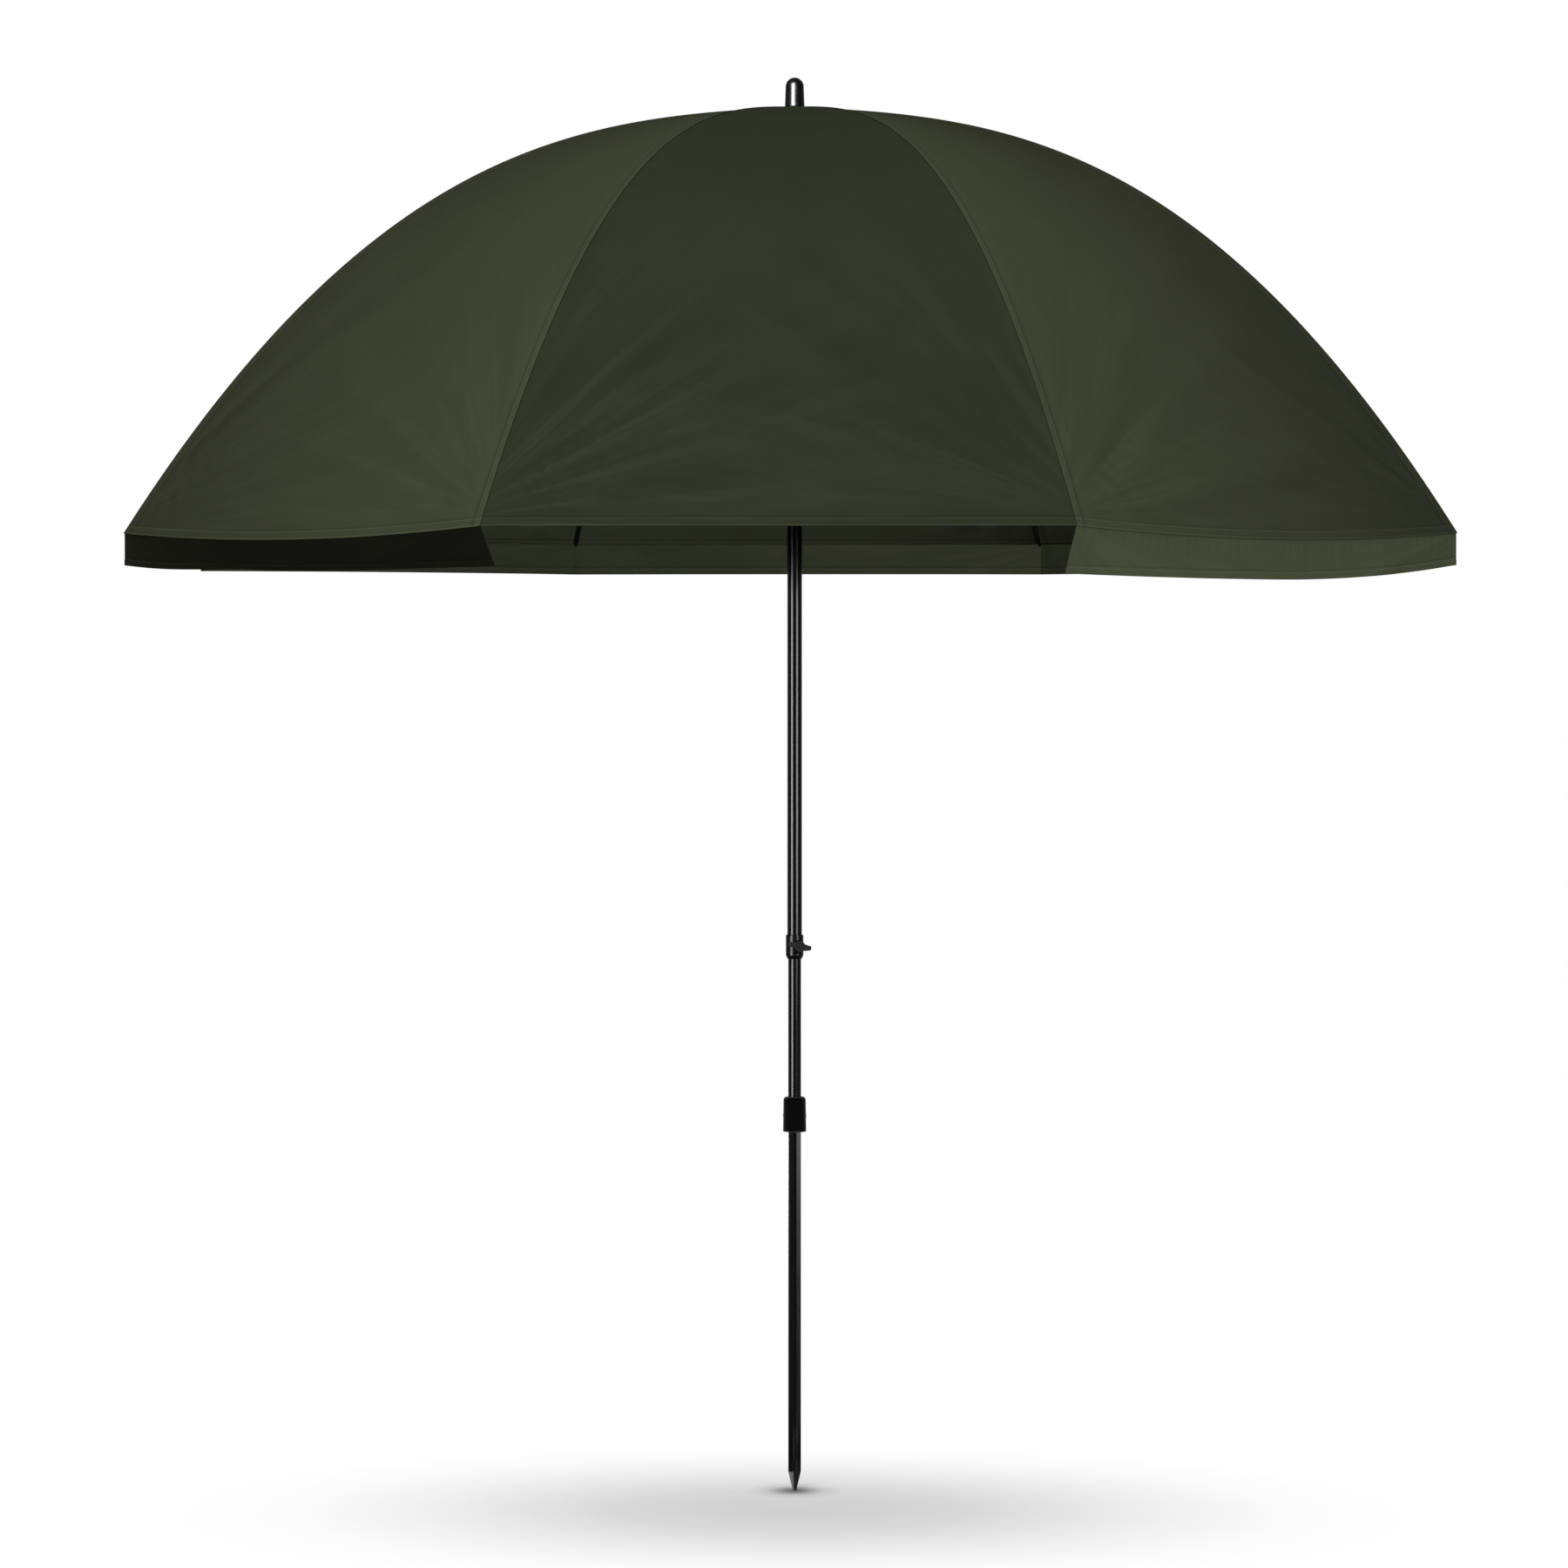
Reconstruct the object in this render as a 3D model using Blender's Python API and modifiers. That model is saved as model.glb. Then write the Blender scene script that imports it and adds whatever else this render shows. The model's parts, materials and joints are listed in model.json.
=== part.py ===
"""Fishing umbrella on a two-part pole, with a ground spike, eight folding ribs and a skirted canopy.

Metres, +Z up. The origin is the point of the spike, and the side without a skirt looks along -Y.
An azimuth is an angle round the pole, from the front (-Y) towards the right (+X).
"""

import math

import bmesh
import bpy
from mathutils import Matrix, Vector

# Clearances and cutting
FIT_GAP = 0.0003
SLOT_GAP = 0.0004
MERGE_DISTANCE = 0.00001
CUT_OVERRUN = 0.002

# Facets
TUBE_SIDES = 24
WHEEL_SIDES = 32
SMALL_SIDES = 12
PIN_SIDES = 8
RING_SIDES = 6
RING_STEPS = 48
ROD_BEVEL_RESOLUTION = 2
ARC_STEPS = 4
SMOOTH_ANGLE = math.radians(40)

# Ground spike, a square bar whose lower end is crimped to four fins and cut to a point
SPIKE_TOP_HEIGHT = 0.5915
SPIKE_SIDE = 0.0152
SPIKE_CORNER = 0.0018
SPIKE_TURN = math.radians(-36)
SPIKE_POINT_LENGTH = 0.030
SPIKE_CRIMP_LENGTH = 0.130
SPIKE_POINT_SHARE = 0.27
SPIKE_DISH_SHARES = (0.30, 0.34, 0.20)

# Collar that joins the spike to the lower tube, with its cross pin
SPIKE_SOCKET_DEPTH = 0.0310
SPIKE_COLLAR_HEIGHT = 0.0542
SPIKE_COLLAR_TOP_RADIUS = 0.0174
SPIKE_COLLAR_BOTTOM_RADIUS = 0.0180
SPIKE_COLLAR_SHOULDER = 0.0055
COLLAR_PIN_INSET = 0.0065
COLLAR_PIN_RADIUS = 0.0022
COLLAR_PIN_HEAD = 0.0004

# Pole tubes
LOWER_TUBE_RADIUS = 0.0100
LOWER_TUBE_WALL = 0.0012
LOWER_TUBE_LENGTH = 0.7080
UPPER_TUBE_WALL = 0.0011
GUIDE_PLUG_HEAD = 0.0060
GUIDE_PLUG_SHANK = 0.0250

# Lock collar on the lower end of the upper tube, its captive nut and its wing screw
LOCK_COLLAR_BOTTOM = 0.8290
LOCK_COLLAR_HEIGHT = 0.0373
LOCK_COLLAR_RADIUS = 0.0137
LOCK_COLLAR_CHAMFER_HEIGHT = 0.0052
LOCK_COLLAR_CHAMFER_WIDTH = 0.0024
LOCK_COLLAR_LIP = 0.0060
LOCK_COLLAR_TOP_ROUND = 0.0012
LOCK_SCREW_HEIGHT = 0.8488
LOCK_SCREW_AZIMUTH = math.radians(20)
LOCK_SCREW_RADIUS = 0.0025
BOSS_RADIUS = 0.0085
BOSS_REACH = 0.0205
NUT_ACROSS_FLATS = 0.0080
NUT_THICKNESS = 0.0040
WING_HUB_RADIUS = 0.0077
WING_HUB_LENGTH = 0.0085
WING_RECESS_RADIUS = 0.0050
WING_RECESS_DEPTH = 0.0012
WING_THICKNESS = 0.0046
WING_REACH = 0.0182
WING_TIP_RADIUS = 0.0038
WING_TIP_OFFSET = 0.0034
WING_ROOT_SHARE = 0.90
WING_BOSS_GAP = 0.0010

# Canopy cloth, measured on its outer face along a rib
RIM_RADIUS = 1.0600
CROWN_HEIGHT = 2.1460
CANOPY_DROP = 0.6650
CANOPY_DROP_SHARES = (0.137, 1.144, -0.281)
CLOTH_THICKNESS = 0.0010
SEAM_GAP = 0.0011
PANEL_COUNT = 8
PANEL_ROW_COUNT = 14
PANEL_COLUMN_COUNT = 6
SAG_DEPTH = 0.0060
HEM_BOW = 0.0090
HEM_BOW_START_SHARE = 0.70
CROWN_PATCH_RADIUS = 0.0385

# Skirt that hangs from the hem all round except in front
SKIRT_HEIGHT = 0.0460
SKIRT_MIDDLE_EXTRA = 0.0100
SKIRT_FRONT_EXTRA = 0.0180
SKIRT_FRONT_SLANT = 0.0080
SKIRT_FRONT_LEAN = 0.0140
SKIRT_ROW_COUNT = 2
SKIRT_COLUMN_COUNT = 8

# Ribs, their tips, and the stretchers that push them up
RIB_RADIUS = 0.00275
RIDGE_RELIEF = 0.0004
RIB_HINGE_RADIUS = 0.0300
EYE_RADIUS = 0.0040
EYE_HOLE_RADIUS = 0.00135
EYE_SHOULDER = 0.0006
RING_WIRE_RADIUS = 0.0010
RIB_JOINT_RADIUS = 0.5700
SADDLE_LENGTH = 0.0260
SADDLE_WIDTH = 0.0080
SADDLE_ABOVE = 0.0010
SADDLE_BELOW = 0.0046
SADDLE_ROUND = 0.0015
TAB_DROP = 0.0095
TAB_THICKNESS = 0.0036
TAB_RADIUS = 0.0036
RIVET_RADIUS = 0.0015
RIB_END_BACK = 0.0200
TIP_STUB_RADIUS = 0.0014
TIP_STUB_LENGTH = 0.0090
TIP_HEAD_LENGTH = 0.0150
TIP_NOSE_RADIUS = 0.0020
STRETCHER_RADIUS = 0.0025
CROSS_PIN_RADIUS = 0.0015
CROSS_PIN_HALF_LENGTH = 0.0056
FORK_LENGTH = 0.0220
FORK_SLOT_DEPTH = 0.0110
FORK_CHEEK = 0.0020
FORK_RADIUS = 0.0038

# Top hub, runner and finial
WHEEL_RADIUS = 0.0360
HUB_HEIGHT = 0.0140
HUB_SPIGOT_LENGTH = 0.0400
HUB_STUD_RADIUS = 0.0040
HUB_STUD_LENGTH = 0.0200
RUNNER_WHEEL_HEIGHT = 0.0110
RUNNER_SLEEVE_RADIUS = 0.0158
RUNNER_NECK_HEIGHT = 0.0080
RUNNER_SKIRT_LENGTH = 0.0580
RUNNER_GRIP_COUNT = 4
RUNNER_GRIP_PITCH = 0.0090
RUNNER_GRIP_DEPTH = 0.0012
CAP_BASE_RADIUS = 0.0152
CAP_TOP_RADIUS = 0.0141
CAP_HEIGHT = 0.0452
CAP_ARC_STEPS = 6

# Spring catch that holds the open runner up
CATCH_WIDTH = 0.0046
CATCH_LEAF_THICKNESS = 0.0012
CATCH_LEAF_LENGTH = 0.0460
CATCH_LEAF_INSET = 0.0040
CATCH_NOSE_HEIGHT = 0.0120
CATCH_NOSE_REACH = 0.0034
CATCH_AZIMUTH = math.radians(90)

# Worked out from the sizes above
UPPER_TUBE_BORE = LOWER_TUBE_RADIUS + FIT_GAP
UPPER_TUBE_RADIUS = UPPER_TUBE_BORE + UPPER_TUBE_WALL
SPIKE_COLLAR_BOTTOM = SPIKE_TOP_HEIGHT - SPIKE_SOCKET_DEPTH
COLLAR_PIN_HEIGHT = SPIKE_TOP_HEIGHT - COLLAR_PIN_INSET
LOWER_TUBE_BOTTOM = SPIKE_TOP_HEIGHT + FIT_GAP
LOWER_TUBE_TOP = LOWER_TUBE_BOTTOM + LOWER_TUBE_LENGTH
UPPER_TUBE_BOTTOM = LOCK_COLLAR_BOTTOM + LOCK_COLLAR_LIP + FIT_GAP
PANEL_ANGLE = 2 * math.pi / PANEL_COUNT
HALF_PANEL = PANEL_ANGLE / 2
RIB_DEPTH = CLOTH_THICKNESS + FIT_GAP + RIDGE_RELIEF + RIB_RADIUS
EYE_DEPTH = CLOTH_THICKNESS + FIT_GAP + RIDGE_RELIEF + EYE_RADIUS
EYE_WIDTH = 2 * RIB_RADIUS + EYE_SHOULDER
GROOVE_HALF_HEIGHT = RING_WIRE_RADIUS + FIT_GAP
RIVET_HOLE_RADIUS = RIVET_RADIUS + FIT_GAP

# Finishes: base colour, roughness, metallic
FINISHES = {
    "canopy_cloth": ((0.034, 0.042, 0.026), 0.75, 0.0),
    "black_gloss_tube": ((0.006, 0.006, 0.006), 0.22, 0.3),
    "black_steel": ((0.012, 0.012, 0.014), 0.35, 0.6),
    "black_plastic": ((0.008, 0.008, 0.008), 0.35, 0.0),
    "matt_grey_plastic": ((0.040, 0.040, 0.040), 0.60, 0.0),
    "zinc_steel": ((0.550, 0.560, 0.570), 0.35, 1.0),
    "spring_steel": ((0.300, 0.300, 0.310), 0.30, 1.0),
    "fibreglass_rod": ((0.015, 0.015, 0.015), 0.40, 0.0),
}


def clear_scene():
    for item in list(bpy.data.objects):
        bpy.data.objects.remove(item)


def make_collection(name):
    group = bpy.data.collections.new(name)
    bpy.context.scene.collection.children.link(group)
    return group


def make_finishes():
    finishes = {}
    for name, (colour, roughness, metallic) in FINISHES.items():
        finish = bpy.data.materials.new(name)
        finish.use_nodes = True
        shader = finish.node_tree.nodes["Principled BSDF"]
        shader.inputs["Base Color"].default_value = (*colour, 1.0)
        shader.inputs["Roughness"].default_value = roughness
        shader.inputs["Metallic"].default_value = metallic
        finishes[name] = finish
    return finishes


clear_scene()
PARTS = make_collection("fishing_umbrella")
FORMS = make_collection("cutters_and_forms")
FINISH = make_finishes()


def form_object(name, data):
    """A cutter or a building form, which the finished umbrella leaves out."""
    form = bpy.data.objects.new(name, data)
    form.hide_render = True
    form.display_type = "WIRE"
    FORMS.objects.link(form)
    return form


def mesh_from(builder):
    mesh = bpy.data.meshes.new("shape")
    builder.to_mesh(mesh)
    builder.free()
    return mesh


def baked_mesh(form):
    """The form's mesh with its modifiers applied and its own placing, shaded smooth where it is round."""
    bpy.context.view_layer.update()
    evaluated = form.evaluated_get(bpy.context.evaluated_depsgraph_get())
    mesh = bpy.data.meshes.new_from_object(evaluated)
    welded = bmesh.new()
    welded.from_mesh(mesh)
    bmesh.ops.remove_doubles(welded, verts=welded.verts, dist=MERGE_DISTANCE)
    welded.to_mesh(mesh)
    welded.free()
    mesh.shade_smooth()
    mesh.set_sharp_from_angle(angle=SMOOTH_ANGLE)
    return mesh


def add_part(name, mesh, finish, parent=None):
    """One named sub-part, placed by its parent's frame."""
    if mesh.users:
        mesh = mesh.copy()
    mesh.name = name
    mesh.materials.clear()
    mesh.materials.append(FINISH[finish])
    part = bpy.data.objects.new(name, mesh)
    part.parent = parent
    PARTS.objects.link(part)
    return part


def add_frame(name, location, turn=0.0, parent=None):
    """An empty that carries parts, with its origin on the axis that they move about."""
    frame = bpy.data.objects.new(name, None)
    frame.location = location
    frame.rotation_euler = (0, 0, turn)
    frame.parent = parent
    PARTS.objects.link(frame)
    return frame


def radial_frame(name, radius, height, azimuth, parent=None):
    """A frame beside the pole whose +X points away from it, with +Y along a hinge's axis."""
    location = (radius * math.sin(azimuth), -radius * math.cos(azimuth), height)
    return add_frame(name, location, azimuth - math.pi / 2, parent)


def box_form(name, low, high):
    low, high = Vector(low), Vector(high)
    size = Matrix.Diagonal((*(high - low), 1))
    builder = bmesh.new()
    bmesh.ops.create_cube(builder, size=1, matrix=Matrix.Translation((low + high) / 2) @ size)
    return form_object(name, mesh_from(builder))


def rod_form(name, radius, start, end, sides=SMALL_SIDES):
    """A straight cylinder from start to end."""
    start, end = Vector(start), Vector(end)
    along = end - start
    place = Matrix.Translation((start + end) / 2) @ along.to_track_quat("Z", "X").to_matrix().to_4x4()
    builder = bmesh.new()
    bmesh.ops.create_cone(
        builder,
        cap_ends=True,
        segments=sides,
        radius1=radius,
        radius2=radius,
        depth=along.length,
        matrix=place,
    )
    return form_object(name, mesh_from(builder))


def turned_form(name, outline, sides, hollow=False):
    """A turned shape. The outline runs down the outer side, and a hollow one comes back up the bore."""
    points = [(radius, 0, height) for radius, height in outline]
    edges = [(index, index + 1) for index in range(len(points) - 1)]
    if hollow:
        edges.append((len(points) - 1, 0))
    mesh = bpy.data.meshes.new(name)
    mesh.from_pydata(points, edges, [])
    form = form_object(name, mesh)
    turn = form.modifiers.new("turn", "SCREW")
    turn.steps = sides
    turn.render_steps = sides
    turn.use_merge_vertices = True
    turn.merge_threshold = MERGE_DISTANCE
    return form


def tube_outline(outer, bore, bottom, top):
    return [(outer, top), (outer, bottom), (bore, bottom), (bore, top)]


def arc(centre, radius, start, end, steps=ARC_STEPS):
    """Points along an arc in the plane of an outline, from one angle to another."""
    points = []
    for step in range(steps + 1):
        angle = start + (end - start) * step / steps
        points.append((centre[0] + radius * math.cos(angle), centre[1] + radius * math.sin(angle)))
    return points


def flat_form(name, outline, thickness):
    """A flat outline in XY, thickened evenly to both sides."""
    curve = bpy.data.curves.new(name, "CURVE")
    curve.dimensions = "2D"
    curve.fill_mode = "BOTH"
    curve.extrude = thickness / 2
    spline = curve.splines.new("POLY")
    spline.points.add(len(outline) - 1)
    for point, (across, up) in zip(spline.points, outline):
        point.co = (across, up, 0, 1)
    spline.use_cyclic_u = True
    form = form_object(name, curve)
    mesh = baked_mesh(form)
    place = form.matrix_world.copy()
    bpy.data.objects.remove(form)
    solid = form_object(name, mesh)
    solid.matrix_world = place
    return solid


def bar_form(name, points, radius):
    """A round bar along a run of points in the XZ plane, with closed ends."""
    curve = bpy.data.curves.new(name, "CURVE")
    curve.dimensions = "3D"
    curve.bevel_depth = radius
    curve.bevel_resolution = ROD_BEVEL_RESOLUTION
    curve.use_fill_caps = True
    spline = curve.splines.new("POLY")
    spline.points.add(len(points) - 1)
    for point, (out, up) in zip(spline.points, points):
        point.co = (out, 0, up, 1)
    form = form_object(name, curve)
    mesh = baked_mesh(form)
    place = form.matrix_world.copy()
    bpy.data.objects.remove(form)
    solid = form_object(name, mesh)
    solid.matrix_world = place
    return solid


def change(target, tool, operation):
    """A Boolean step on the target; the tool stays behind as a wire form."""
    step = target.modifiers.new(tool.name, "BOOLEAN")
    step.operation = operation
    step.solver = "EXACT"
    step.object = tool


def join_forms(name, forms):
    """Several separate shapes as one form, for one Boolean step."""
    builder = bmesh.new()
    for form in forms:
        builder.from_mesh(form.data)
        bpy.data.objects.remove(form)
    return form_object(name, mesh_from(builder))


def cloth_drop(radius):
    """How far the canopy lies below its crown, at a distance from the pole along a rib."""
    out = radius / RIM_RADIUS
    linear, cube, fourth = CANOPY_DROP_SHARES
    return CANOPY_DROP * (linear * out + cube * out**3 + fourth * out**4)


def cloth_slope(radius):
    """The canopy's downward slope along a rib, as an angle."""
    out = radius / RIM_RADIUS
    linear, cube, fourth = CANOPY_DROP_SHARES
    steepness = linear + 3 * cube * out**2 + 4 * fourth * out**3
    return math.atan(CANOPY_DROP * steepness / RIM_RADIUS)


def under_cloth(radius, depth):
    """A point in a rib's plane, at a depth square below the cloth's outer face."""
    slope = cloth_slope(radius)
    out = radius - depth * math.sin(slope)
    up = CROWN_HEIGHT - cloth_drop(radius) - depth * math.cos(slope)
    return out, up


def cloth_stations():
    """Distances from the pole at which both the cloth and the ribs have their bends."""
    span = RIM_RADIUS - CROWN_PATCH_RADIUS
    return [CROWN_PATCH_RADIUS + span * row / PANEL_ROW_COUNT for row in range(PANEL_ROW_COUNT + 1)]


# The linkage: both links are equally long and both pivots equally far out, so that a stretcher turns
# on its rib by exactly twice the rib's angle, and its lower end stays on a line beside the pole.
HUB_PIVOT = Vector(under_cloth(RIB_HINGE_RADIUS, EYE_DEPTH))
RIB_JOINT = Vector(under_cloth(RIB_JOINT_RADIUS, RIB_DEPTH + TAB_DROP))
STRETCHER_LENGTH = (RIB_JOINT - HUB_PIVOT).length
REST_ANGLE = math.atan2(HUB_PIVOT[1] - RIB_JOINT[1], RIB_JOINT[0] - HUB_PIVOT[0])
RUNNER_PIVOT = Vector((HUB_PIVOT[0], 2 * RIB_JOINT[1] - HUB_PIVOT[1]))
HUB_TOP = CROWN_HEIGHT - cloth_drop(WHEEL_RADIUS / math.cos(HALF_PANEL)) - CLOTH_THICKNESS - FIT_GAP
HUB_BOTTOM = HUB_TOP - HUB_HEIGHT
UPPER_TUBE_TOP = HUB_BOTTOM - FIT_GAP
RUNNER_BOTTOM = RUNNER_PIVOT[1] - RUNNER_WHEEL_HEIGHT / 2 - RUNNER_SKIRT_LENGTH


def spike_section(height, half_side, dish_share):
    """Twelve points round the bar: chamfered corners, with the middle of each face pulled in."""
    corner = SPIKE_CORNER * half_side / (SPIKE_SIDE / 2)
    face = [(half_side, corner - half_side), (half_side * (1 - dish_share), 0), (half_side, half_side - corner)]
    points = []
    for quarter in range(4):
        turn = Matrix.Rotation(SPIKE_TURN + quarter * math.pi / 2, 3, "Z")
        points += [turn @ Vector((out, along, height)) for out, along in face]
    return points


def loft_form(name, sections):
    """A closed skin through sections of equally many points, from the lowest to the highest."""
    builder = bmesh.new()
    rings = [[builder.verts.new(point) for point in section] for section in sections]
    count = len(sections[0])
    for lower, upper in zip(rings, rings[1:]):
        for index in range(count):
            following = (index + 1) % count
            builder.faces.new((lower[index], lower[following], upper[following], upper[index]))
    builder.faces.new(list(reversed(rings[0])))
    builder.faces.new(rings[-1])
    bmesh.ops.triangulate(builder, faces=[face for face in builder.faces if len(face.verts) > 4])
    return form_object(name, mesh_from(builder))


def make_ground_spike(carrier):
    half_side = SPIKE_SIDE / 2
    tip_dish, point_dish, crimp_dish = SPIKE_DISH_SHARES
    crimp_middle = (SPIKE_POINT_LENGTH + SPIKE_CRIMP_LENGTH) / 2
    sections = [
        spike_section(0, half_side * SPIKE_POINT_SHARE, tip_dish),
        spike_section(SPIKE_POINT_LENGTH, half_side, point_dish),
        spike_section(crimp_middle, half_side, crimp_dish),
        spike_section(SPIKE_CRIMP_LENGTH, half_side, 0),
        spike_section(SPIKE_TOP_HEIGHT, half_side, 0),
    ]
    spike = loft_form("spike_loft", sections)
    change(spike, pin_hole(), "DIFFERENCE")
    add_part("ground_spike", baked_mesh(spike), "black_steel", carrier)


def pin_hole():
    reach = SPIKE_COLLAR_BOTTOM_RADIUS + CUT_OVERRUN
    start = (-reach, 0, COLLAR_PIN_HEIGHT)
    return rod_form("pin_hole", COLLAR_PIN_RADIUS + FIT_GAP, start, (reach, 0, COLLAR_PIN_HEIGHT))


def make_spike_collar(carrier):
    """A moulded sleeve: the tube seats in its round upper bore, the spike in its square lower socket."""
    top = SPIKE_COLLAR_BOTTOM + SPIKE_COLLAR_HEIGHT
    shoulder = SPIKE_COLLAR_SHOULDER
    shoulder_centre = (SPIKE_COLLAR_TOP_RADIUS - shoulder, top - shoulder)
    bore = LOWER_TUBE_RADIUS + FIT_GAP
    outline = arc(shoulder_centre, shoulder, math.pi / 2, 0)
    outline += [
        (SPIKE_COLLAR_BOTTOM_RADIUS, SPIKE_COLLAR_BOTTOM),
        (bore, SPIKE_COLLAR_BOTTOM),
        (bore, top),
    ]
    collar = turned_form("spike_collar_turning", outline, TUBE_SIDES, hollow=True)
    half_socket = SPIKE_SIDE / 2 + FIT_GAP
    socket_low = (-half_socket, -half_socket, SPIKE_COLLAR_BOTTOM - CUT_OVERRUN)
    socket = box_form("spike_socket", socket_low, (half_socket, half_socket, SPIKE_TOP_HEIGHT + FIT_GAP))
    socket.rotation_euler = (0, 0, SPIKE_TURN)
    change(collar, socket, "DIFFERENCE")
    change(collar, pin_hole(), "DIFFERENCE")
    add_part("spike_collar", baked_mesh(collar), "black_plastic", carrier)


def make_collar_pin(carrier):
    reach = SPIKE_COLLAR_BOTTOM_RADIUS + COLLAR_PIN_HEAD
    start = (-reach, 0, COLLAR_PIN_HEIGHT)
    pin = rod_form("pin_blank", COLLAR_PIN_RADIUS, start, (reach, 0, COLLAR_PIN_HEIGHT))
    add_part("collar_pin", baked_mesh(pin), "zinc_steel", carrier)


def make_lower_tube(carrier):
    bore = LOWER_TUBE_RADIUS - LOWER_TUBE_WALL
    outline = tube_outline(LOWER_TUBE_RADIUS, bore, LOWER_TUBE_BOTTOM, LOWER_TUBE_TOP)
    tube = turned_form("lower_tube_turning", outline, TUBE_SIDES, hollow=True)
    add_part("lower_tube", baked_mesh(tube), "black_gloss_tube", carrier)


def make_guide_plug(carrier):
    """A plastic plug in the top of the lower tube, which runs in the upper tube's bore."""
    base = LOWER_TUBE_TOP + FIT_GAP
    shank = LOWER_TUBE_RADIUS - LOWER_TUBE_WALL - FIT_GAP
    chamfer = GUIDE_PLUG_HEAD / 3
    outline = [
        (0, base + GUIDE_PLUG_HEAD),
        (LOWER_TUBE_RADIUS - chamfer, base + GUIDE_PLUG_HEAD),
        (LOWER_TUBE_RADIUS, base + GUIDE_PLUG_HEAD - chamfer),
        (LOWER_TUBE_RADIUS, base),
        (shank, base),
        (shank, base - GUIDE_PLUG_SHANK),
        (0, base - GUIDE_PLUG_SHANK),
    ]
    plug = turned_form("guide_plug_turning", outline, TUBE_SIDES)
    add_part("guide_plug", baked_mesh(plug), "black_plastic", carrier)


def screw_point(distance):
    """A point on the wing screw's axis, at a distance from the pole's axis."""
    across = distance * math.sin(LOCK_SCREW_AZIMUTH)
    forward = -distance * math.cos(LOCK_SCREW_AZIMUTH)
    return Vector((across, forward, LOCK_SCREW_HEIGHT))


def nut_radius(across_flats):
    return across_flats / 2 / math.cos(math.pi / 6)


def make_upper_tube(carrier):
    """The outer tube, drilled for the lock screw and slotted for the spring catch."""
    outline = tube_outline(UPPER_TUBE_RADIUS, UPPER_TUBE_BORE, UPPER_TUBE_BOTTOM, UPPER_TUBE_TOP)
    tube = turned_form("upper_tube_turning", outline, TUBE_SIDES, hollow=True)
    reach = UPPER_TUBE_RADIUS + CUT_OVERRUN
    hole_radius = LOCK_SCREW_RADIUS + FIT_GAP
    change(tube, rod_form("tube_screw_hole", hole_radius, screw_point(0), screw_point(reach)), "DIFFERENCE")
    half_width = CATCH_WIDTH / 2 + FIT_GAP
    nose_top = RUNNER_BOTTOM - FIT_GAP
    window_low = (0, -half_width, nose_top - CATCH_NOSE_HEIGHT - FIT_GAP)
    window = box_form("catch_window", window_low, (reach, half_width, nose_top + FIT_GAP))
    window.rotation_euler = (0, 0, CATCH_AZIMUTH - math.pi / 2)
    change(tube, window, "DIFFERENCE")
    add_part("upper_tube", baked_mesh(tube), "black_gloss_tube", carrier)


def make_lock_collar(carrier):
    """A moulded collar with a chamfered foot and a round boss for the nut and the screw."""
    top = LOCK_COLLAR_BOTTOM + LOCK_COLLAR_HEIGHT
    round_centre = (LOCK_COLLAR_RADIUS - LOCK_COLLAR_TOP_ROUND, top - LOCK_COLLAR_TOP_ROUND)
    tube_bore = UPPER_TUBE_RADIUS + FIT_GAP
    lip_top = LOCK_COLLAR_BOTTOM + LOCK_COLLAR_LIP
    outline = arc(round_centre, LOCK_COLLAR_TOP_ROUND, math.pi / 2, 0, steps=2)
    outline += [
        (LOCK_COLLAR_RADIUS, LOCK_COLLAR_BOTTOM + LOCK_COLLAR_CHAMFER_HEIGHT),
        (LOCK_COLLAR_RADIUS - LOCK_COLLAR_CHAMFER_WIDTH, LOCK_COLLAR_BOTTOM),
        (UPPER_TUBE_BORE, LOCK_COLLAR_BOTTOM),
        (UPPER_TUBE_BORE, lip_top),
        (tube_bore, lip_top),
        (tube_bore, top),
    ]
    collar = turned_form("lock_collar_turning", outline, TUBE_SIDES, hollow=True)
    boss_root = (tube_bore + LOCK_COLLAR_RADIUS) / 2
    boss = rod_form("lock_boss", BOSS_RADIUS, screw_point(boss_root), screw_point(BOSS_REACH), TUBE_SIDES)
    change(collar, boss, "UNION")
    tube_space = rod_form(
        "lock_tube_space",
        tube_bore,
        (0, 0, lip_top),
        (0, 0, top + CUT_OVERRUN),
        TUBE_SIDES,
    )
    change(collar, tube_space, "DIFFERENCE")
    outer = screw_point(BOSS_REACH + CUT_OVERRUN)
    hole = rod_form("lock_screw_hole", LOCK_SCREW_RADIUS + FIT_GAP, screw_point(0), outer)
    change(collar, hole, "DIFFERENCE")
    pocket_floor = screw_point(BOSS_REACH - NUT_THICKNESS - 2 * FIT_GAP)
    pocket_radius = nut_radius(NUT_ACROSS_FLATS + 2 * FIT_GAP)
    change(collar, rod_form("nut_pocket", pocket_radius, pocket_floor, outer, sides=6), "DIFFERENCE")
    add_part("lock_collar", baked_mesh(collar), "black_plastic", carrier)


def make_lock_nut(carrier):
    inner = screw_point(BOSS_REACH - NUT_THICKNESS - FIT_GAP)
    outer = screw_point(BOSS_REACH - FIT_GAP)
    nut = rod_form("nut_blank", nut_radius(NUT_ACROSS_FLATS), inner, outer, sides=6)
    hole = rod_form("nut_hole", LOCK_SCREW_RADIUS + FIT_GAP, screw_point(0), screw_point(BOSS_REACH * 2))
    change(nut, hole, "DIFFERENCE")
    add_part("lock_nut", baked_mesh(nut), "zinc_steel", carrier)


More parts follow.
